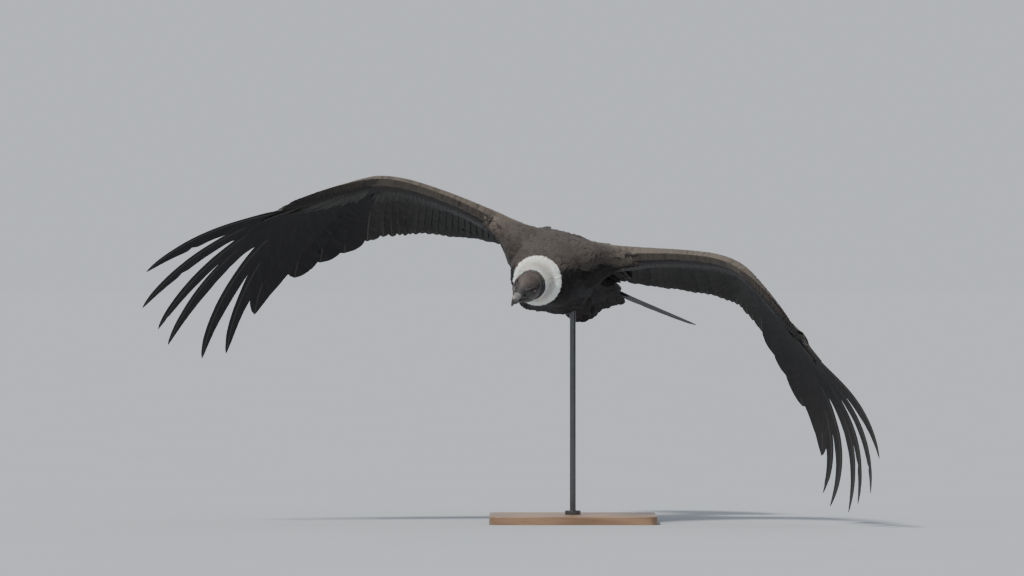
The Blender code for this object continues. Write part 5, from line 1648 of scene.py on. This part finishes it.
def make_body_flesh():
    """Torso, neck, wings, thighs and tail under the coat, as one closed surface."""
    turn = ring_turns(48)
    y = np.linspace(-0.298, 0.316, 72)[:, None]
    parts = [loft_object("torso_flesh", torso_points(y, turn, TORSO_COAT))]
    neck = smoothed(NECK, 30)
    parts.append(loft_object("neck_flesh", tube_points(neck[:, :3], neck[:, 3] - 0.002, 40)))
    parts += [wing_flesh(wing) for wing in WINGS.values()]
    x = np.linspace(SHOULDERS[0, 0], SHOULDERS[-1, 0], 40)[:, None]
    parts += [loft_object("shoulder", shoulder_points(side, x, turn, SHOULDER_DEPTH))
              for side in SIDES]
    thigh = smoothed(THIGH, 30)
    for side in SIDES:
        path = thigh[:, :3] * MIRROR[side]
        parts.append(loft_object("thigh", tube_points(path, thigh[:, 3] - THIGH_COAT, 28)))
    stump = np.array(((-0.010, 0, 0, 0.019, 0.008, 0.010), (0.020, 0, 0, 0.023, 0.010, 0.011),
                      (0.060, 0, 0, 0.026, 0.008, 0.009), (0.100, 0, 0, 0.022, 0.005, 0.005)))
    parts.append(loft_object("stump", moved(oval_rings(smoothed(stump, 16), 24, 2.0), TAIL_ROWS)))
    flesh = remeshed("body_flesh", parts, BODY_VOXEL, 6)
    place = moved(mesh_points(flesh), WORLD_TO_BIRD)
    weight = smooth((-0.03 - place[:, 1]) / 0.06) * smooth((0.20 - np.abs(place[:, 0])) / 0.05)
    group = flesh.vertex_groups.new(name="breast")
    for share in range(1, 11):
        chosen = np.nonzero(np.round(weight * 10) == share)[0]
        group.add(chosen.tolist(), share / 10, "REPLACE")
    return applied(flesh, "SMOOTH", factor=0.5, iterations=60, vertex_group="breast")


def make_head_flesh():
    """Skull, brows, the corners of the mouth and the folded upper neck."""
    parts = [head_loft("skull", oval_rings(smoothed(HEAD, HEAD_STATIONS), 64, SKULL_SQUARE))]
    neck = smoothed(NECK, 60)[18:]
    parts.append(loft_object("upper_neck", tube_points(neck[:, :3], neck[:, 3] - 0.001, 56)))
    ball = [(SOCKET * math.cos(angle), 0.0, 0.0) + 3 * (SOCKET * math.sin(angle),)
            for angle in np.linspace(0.05, math.pi - 0.05, 24)]
    ball = oval_rings(np.array(ball), 32, 2.0)
    for side in SIDES:
        parts.append(head_loft("socket", ball + EYE_AT * MIRROR[side]))
        parts += [head_tube(name, np.array(path) * (side, 1.0, 1.0, 1.0))
                  for name, path in RIDGES.items()]
    parts.append(head_tube("chin", CHIN))
    return remeshed("head_flesh", parts, HEAD_VOXEL, 6)


def wave(points, scale, octaves=3):
    """Soft seeded noise between about -1 and 1 at rows of points."""
    return np.array([noise.fractal(Vector(row), 0.9, 2.0, octaves) for row in points * scale])


def oval_reach(q, at, long, tall, least_x):
    """How far places are from the middle of an oval on the head's side; 1 is its edge."""
    reach = np.sqrt(((q[:, 1] - at[1]) / long) ** 2 + ((q[:, 2] - at[2]) / tall) ** 2)
    return np.where(q[:, 0] > least_x, reach, FAR)


def shape_head(head):
    """Press lids, nostrils, ears, furrows and neck folds into the head, and mark its colours, with
    painted shade in its hollows and folds.
    """
    world = mesh_points(head)
    bird = moved(world, WORLD_TO_BIRD)
    p = moved(bird, BIRD_TO_HEAD)
    normals = mesh_normals(head) @ (WORLD_TO_BIRD[:3, :3].T @ BIRD_TO_HEAD[:3, :3].T)
    # The crease mark gathers painted shade for folds, furrows, pleats, the mouth seam, nostrils,
    # ears and the rings round the eyes.
    crease_shade = np.zeros(len(p))
    mirror = np.where(p[:, :1] >= 0, MIRROR[1], MIRROR[-1])
    q = p * mirror
    push = np.zeros(len(p))
    neckward = smooth((q[:, 1] - 0.012) / 0.030)
    broad = wave(p, 38.0)
    warp = wave(p + 3.0, 70.0)
    fold = np.sin((q[:, 1] * 0.80 + q[:, 2] * -0.25) * FULL_TURN / 0.0085 + broad * 2.6)
    push += neckward * (0.0011 * fold + 0.0008 * warp)
    crease_shade += neckward * smooth((-fold - 0.25) / 0.7) * 0.8
    crown = smooth((q[:, 2] - 0.010) / 0.015) * smooth((-q[:, 1] + 0.030) / 0.03)
    furrow = np.sin(q[:, 1] * FULL_TURN / 0.0062 + broad * 2.0 + np.abs(q[:, 0]) * 120)
    push += crown * 0.00038 * furrow
    crease_shade += crown * smooth((-furrow - 0.4) / 0.6) * 0.45
    throat = smooth((-q[:, 2] - 0.018) / 0.012) * (1 - neckward)
    pleat = np.sin(q[:, 0] * FULL_TURN / 0.0060 + broad * 1.6)
    push += throat * 0.0006 * pleat
    crease_shade += throat * smooth((-pleat - 0.3) / 0.7) * 0.7
    pits = wave(p + 9.0, 260.0, 2)
    push += 0.00022 * pits + 0.0004 * warp * (1 - neckward)
    seam = q[:, 2] - BILL_SEAM + 0.002 * smooth((q[:, 1] + 0.05) / 0.03)
    mouth = np.exp(-(seam / 0.0010) ** 2) * smooth((-q[:, 1] - 0.026) / 0.008)
    push -= 0.0016 * mouth
    crease_shade += mouth
    hole = oval_reach(q, NOSTRIL_AT, 0.0052, 0.0024, 0.006)
    push -= 0.0034 * smooth((1.05 - hole) / 0.35)
    push += 0.0005 * np.exp(-((hole - 1.35) / 0.25) ** 2)
    crease_shade += smooth((1.15 - hole) / 0.3)
    ear = oval_reach(q, EAR_AT, 0.0046, 0.0058, 0.02)
    push -= 0.0034 * smooth((1.0 - ear) / 0.4)
    push += 0.0009 * np.exp(-((ear - 1.3) / 0.28) ** 2)
    crease_shade += smooth((1.1 - ear) / 0.35)
    look = unit(LOOK)
    fore = unit(np.array((0.0, -1.0, 0.0)) - look * -look[1])
    over = np.cross(look, fore) * -1.0
    over = over * np.sign(over[2])
    offset = q - EYE_AT
    radius = np.linalg.norm(offset, axis=1)
    facing = offset @ look / np.maximum(radius, 1e-6)
    a = np.arctan2(offset @ fore, offset @ look)
    b = np.arctan2(offset @ over, offset @ look)
    e = np.sqrt((a / 0.74) ** 2 + ((b + 0.02) / 0.56) ** 2)
    e = np.where((facing > 0.15) & (radius < 0.022), e, FAR)
    rings = np.sin((e - 1.0) * 11.0) * np.exp(-np.maximum(e - 1.1, 0) * 1.6) * (e > 1.1) * (e < 3)
    push += 0.00045 * rings
    crease_shade += smooth(-rings * 1.4) * 0.6
    q = q + (normals * mirror) * push[:, None]
    offset = q - EYE_AT
    radius = np.linalg.norm(offset, axis=1)
    lid = 0.0072 + (0.0110 - 0.0072) * smooth((e - 0.96) / 0.16)
    wanted = np.where(e < 1.12, lid, np.maximum(radius, 0.0104))
    near = e < 1.5
    q = np.where(near[:, None], EYE_AT + offset / np.maximum(radius, 1e-6)[:, None]
                 * wanted[:, None], q)
    crease_shade += smooth((1.03 - e) / 0.08) * 1.0
    p = q * mirror
    set_points(head, moved(moved(p, HEAD_ROWS), BIRD_ROWS))
    brow = smooth((q[:, 0] - 0.021) / 0.006) * smooth((0.026 - q[:, 2]) / 0.006)
    nape = smooth((q[:, 2] - 0.016) / 0.016) * smooth((0.075 - q[:, 1]) / 0.045)
    brown = np.maximum(crown * smooth((q[:, 2] - 0.008) / 0.018), nape * 0.85)
    brown = brown * (1 - brow * smooth((0.012 - q[:, 1]) / 0.01))
    # Painted shade along the top of the brows, where the ridge would catch the light.
    crease_shade = crease_shade + (0.55 * brow * smooth((q[:, 2] - 0.010) / 0.005)
                       * smooth((0.012 - q[:, 1]) / 0.01))
    cheeks = smooth((0.012 - q[:, 2]) / 0.02) * smooth((q[:, 0] - 0.010) / 0.014)
    grey = cheeks * smooth((0.040 - q[:, 1]) / 0.03) * (0.65 + 0.35 * warp)
    return np.stack([np.clip(crease_shade, 0, 1), np.clip(brown, 0, 1), np.clip(grey, 0, 1)], 1)


def skin_places(bird):
    """Places on the shared unwrap for points of the skin."""
    places = np.zeros((len(bird), 2))
    head = bird[:, 1] < -0.31
    centre = np.array([0.004, 0.0, -0.12])
    turn = np.arctan2(bird[:, 2] - centre[2], bird[:, 0] - centre[0]) / FULL_TURN
    places[head] = skin_map("head", turn % 1.0, (-bird[:, 1] - 0.30) / 0.25)[head]
    places[~head] = torso_place(bird)[~head]
    for name, wing in WINGS.items():
        over = (bird[:, 0] * wing.side > 0.125) & (bird[:, 2] > -0.06) & ~head
        local = bird * MIRROR[wing.side]
        flat_u = np.interp(local[:, 0] - SHOULDER.x, wing.across, wing.reach)
        b = local[:, 1] - SHOULDER.y + wing.front(0.0) - wing.front(flat_u)
        upper = np.interp(flat_u, wing.reach, wing.upward) + SHOULDER.z < local[:, 2]
        for form, mask in ((name + "_above", over & upper), (name + "_below", over & ~upper)):
            places[mask] = wing_place(form, flat_u, b)[mask]
    return places


def flesh_frames(flesh):
    """Places and outward normals of the flesh's points in the bird's frame."""
    return (moved(mesh_points(flesh), WORLD_TO_BIRD),
            mesh_normals(flesh).astype(float) @ WORLD_TO_BIRD[:3, :3].T)


def make_skin(body, material):
    """One skin for the whole bird, with the finely shaped head worked into it."""
    head = make_head_flesh()
    place = moved(mesh_points(body), WORLD_TO_BIRD)
    # Painted light on the body's skin: darker as painted shade where it shows between feathers,
    # less so where sunlit, and brown as painted sunlight above the shade line.
    sunny = sun_share(place[:, 0], place[:, 2])
    crease_shade = np.where(np.abs(place[:, 0]) > 0.25, 0.30, 0.80 - 0.35 * sunny)
    marks = np.concatenate([np.stack([crease_shade, 0.8 * sunny, 0 * sunny], -1),
                            shape_head(head)])
    skin = joined("skin", [body, head])
    skin.data.shade_smooth()
    set_uv(skin, skin_places(moved(mesh_points(skin), WORLD_TO_BIRD)))
    set_marks(skin, marks)
    attach(skin, material, "skin", "torso", "neck", "head")


def make_bristles(material, draw):
    """Sparse short bristles on the lores, brows, chin and cheeks."""
    turn = draw.uniform(0, FULL_TURN, BRISTLES)
    rows = smoothed(HEAD, HEAD_STATIONS)
    pick = draw.uniform(0.30, 0.88, BRISTLES) * (len(rows) - 1)
    low = pick.astype(int)
    rows = rows[low] + (rows[low + 1] - rows[low]) * (pick - low)[:, None]
    c, s = squared(turn, SKULL_SQUARE)
    out = unit(np.stack([c / rows[:, 3], 0.0 * c, s / np.where(s > 0, rows[:, 4], rows[:, 5])], -1))
    place = np.stack([c * rows[:, 3], rows[:, 0],
                      rows[:, 2] + s * np.where(s > 0, rows[:, 4], rows[:, 5])], -1)
    place = place - out * 0.0008
    mirror = np.stack([np.sign(place[:, 0]), np.ones(BRISTLES), np.ones(BRISTLES)], 1)
    keep = np.linalg.norm(place * mirror - EYE_AT, axis=1) > BARE_ROUND_EYE
    place, out = place[keep], out[keep]
    count = len(place)
    along = unit(np.tile((0.0, 1.0, 0.0), (count, 1)) + out * 0.35
                 + draw.normal(0, 0.25, (count, 3)))
    long = draw.uniform(0.0030, 0.0060, count)
    points, a = small_vanes(place, out, along, long, np.full(count, 0.0005),
                            BRISTLE_STATIONS, SMALL_COLUMNS,
                            np.full(count, 0.0004), np.full(count, 0.002), 0.0)
    points = (points - points.mean(2, keepdims=True)) * np.array(
        [1.0, 0.6, 0.15])[None, :, None, None] + points.mean(2, keepdims=True)
    points = moved(points.reshape(-1, 3), HEAD_ROWS).reshape(points.shape)
    marks = chance_marks(points, draw)
    roots = skin_map("head", (turn[keep] / FULL_TURN) % 1.0, 0.5 - place[:, 1] * 4)
    plumage("head_bristles", points, BRISTLE_STATIONS, a, roots, marks, material,
            "body_feathers")


def make_bill(material):
    """The hooked upper bill and the lower bill, shut."""
    rows = [(y, wide, top, max(BILL_SEAM, top - tall) if y > -0.110 else top - tall)
            for y, wide, top, tall in UPPER_BILL]
    rows = smoothed(rows, 56)
    share = np.linspace(0.0, 1.0, len(rows))
    edge = 0.0005 * np.sin(share * math.pi * 5) * (share < 0.72)
    top, low = rows[:, 2], rows[:, 3] + edge
    middle = top - (top - low) * 0.45
    upper = oval_rings(np.stack([rows[:, 0], 0 * top, middle, rows[:, 1], top - middle,
                                 middle - low], 1), 40, BILL_SQUARE)
    ridge = np.exp(-(upper[..., 0] / 0.0030) ** 2) * (upper[..., 2] > middle[:, None])
    upper[..., 2] += ridge * 0.0005
    lower_rows = smoothed(LOWER_BILL, 40)
    middle = BILL_SEAM - 0.0006 - lower_rows[:, 2] * 0.4
    lower = oval_rings(np.stack([lower_rows[:, 0], 0 * middle, middle, lower_rows[:, 1],
                                 lower_rows[:, 2] * 0.4, lower_rows[:, 2] * 0.6], 1), 36,
                       BILL_SQUARE)
    for name, points in (("bill_upper", upper), ("bill_lower", lower)):
        item = head_loft(name + "_horn", points)
        mark_along(item, *points.shape[:2])
        attach(item, material, "horn", name)


def make_eyes(material):
    """Eyeballs with a marked pupil and iris."""
    for name, side in (("eye_left", 1.0), ("eye_right", -1.0)):
        look = unit(LOOK * MIRROR[side])
        first = unit(np.cross(look, UP))
        second = np.cross(look, first)
        angle = np.linspace(0.02, math.pi - 0.02, 44)[:, None]
        turn = ring_turns(48)
        points = EYE_AT * MIRROR[side] + EYE_RADIUS * (
            look * np.cos(angle)[..., None] * np.ones((1, 48, 1))
            + circle(first, second, turn)[None] * np.sin(angle)[..., None])
        item = head_loft(name + "_ball", points)
        marks = np.zeros(points.shape)
        marks[..., 0] = turn / FULL_TURN
        marks[..., 1] = np.minimum(angle / math.radians(60), 1.0)
        set_marks(item, marks.reshape(-1, 3))
        attach(item, material, "eye", name)


# Stage

FLOOR_RADIUS = 900.0
FLOOR_CORNERS = 64
SUN_WAY = Vector((0.42, 0.46, -0.86))
SUN_POWER = 3.4
SKY_POWER = 0.75


def make_stage():
    """A plain pale floor, soft studio light and the camera of the photograph's view."""
    turn = ring_turns(FLOOR_CORNERS)
    rim = FLOOR_RADIUS * np.stack([np.cos(turn), np.sin(turn), 0 * turn], 1)
    floor = new_mesh("studio_floor", rim, [range(FLOOR_CORNERS)])
    floor.data.materials.append(floor_material())
    world = bpy.data.worlds.new("studio")
    SCENE.world = world
    world.use_nodes = True
    sky = world.node_tree.nodes["Background"]
    sky.inputs["Color"].default_value = (0.80, 0.84, 0.90, 1.0)
    sky.inputs["Strength"].default_value = SKY_POWER
    sun = bpy.data.lights.new("key", "SUN")
    sun.energy = SUN_POWER
    sun.angle = math.radians(9.0)
    sun.color = (1.0, 0.965, 0.92)
    key = in_scene("key", sun)
    key.rotation_euler = SUN_WAY.to_track_quat("-Z", "Y").to_euler()
    camera = bpy.data.cameras.new("camera")
    camera.lens = CAMERA_LENS
    camera.sensor_width = 36.0
    camera.clip_start = 0.5
    camera.clip_end = 3000.0
    holder = in_scene("camera", camera)
    holder.location = BODY_AT + CAMERA_OFFSET
    holder.rotation_euler = (math.pi / 2, 0.0, 0.0)
    SCENE.camera = holder


def finish_stand(wood, steel):
    """The base and rod stay as they are, with their own finishes."""
    for name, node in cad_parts.items():
        if name.startswith("stand_"):
            node.data.materials.clear()
            node.data.materials.append(wood if "base" in name else steel)


# SUN_BROWN is painted sunlight where the brown marks follow the light; as the faint even tint of
# thighs and tail coverts it is their own brown.
SILVER = (0.50, 0.50, 0.49)
SUN_BROWN = (0.150, 0.128, 0.105)
FLIGHT = feather_material("flight_feathers", (0.0110, 0.0105, 0.0098), (0.042, 0.040, 0.036),
                          (0.056, 0.053, 0.048), 190.0, pale=SILVER,
                          shaft=(0.090, 0.084, 0.074), edge_share=0.25)
PRIMARY = feather_material("primary_feathers", (0.0085, 0.0080, 0.0085),
                           (0.020, 0.019, 0.019), (0.030, 0.028, 0.028), 300.0,
                           shaft=(0.055, 0.050, 0.045), edge_share=0.15)
COVERTS = feather_material("body_feathers", (0.012, 0.011, 0.0115), (0.030, 0.027, 0.026),
                           (0.050, 0.045, 0.042), 34.0, pale=SILVER,
                           brown=SUN_BROWN, edge_share=0.35, specular=0.14)
# The mantle's brown and pale colours are painted sunlight on near black feathers.
MANTLE = feather_material("mantle_feathers", (0.0085, 0.0078, 0.0080),
                          (0.019, 0.0175, 0.0175), (0.026, 0.024, 0.023), 26.0,
                          pale=SUN_BROWN, brown=(0.082, 0.071, 0.064),
                          edge_share=0.7, specular=0.10)
DOWN = down_material()
SKIN = skin_material()
BILL = horn_material("bill_horn", (0.150, 0.145, 0.140), (0.030, 0.028, 0.027), 0.52, 0.78)
CLAW_HORN = horn_material("claw_horn", (0.060, 0.055, 0.050), (0.018, 0.016, 0.015), 0.2, 0.9)
SCALES = scale_material()
EYE = eye_material()


def main():
    """Make every piece, in the order that the seeded draws are taken, then the stage."""
    draw = np.random.default_rng(SEED)
    for wing in WINGS.values():
        make_primaries(wing, PRIMARY, draw)
        make_secondaries(wing, FLIGHT, draw)
        for side in SIDES:
            make_great_coverts(wing, side, FLIGHT, draw)
            make_small_coverts(wing, side, COVERTS, draw)
    flesh = make_body_flesh()
    make_body_coat(flesh, MANTLE, draw)
    make_scapulars(MANTLE, draw)
    make_tail(FLIGHT, COVERTS, draw)
    make_ruff(DOWN, draw)
    for name, side in (("left", 1.0), ("right", -1.0)):
        make_leg(name, side, SCALES, CLAW_HORN)
        make_thigh_coat(name, side, COVERTS, draw)
    make_flanks(COVERTS, draw)
    make_skin(flesh, SKIN)
    make_bristles(COVERTS, draw)
    make_bill(BILL)
    make_eyes(EYE)
    finish_stand(wood_material(), steel_material())
    make_stage()


main()
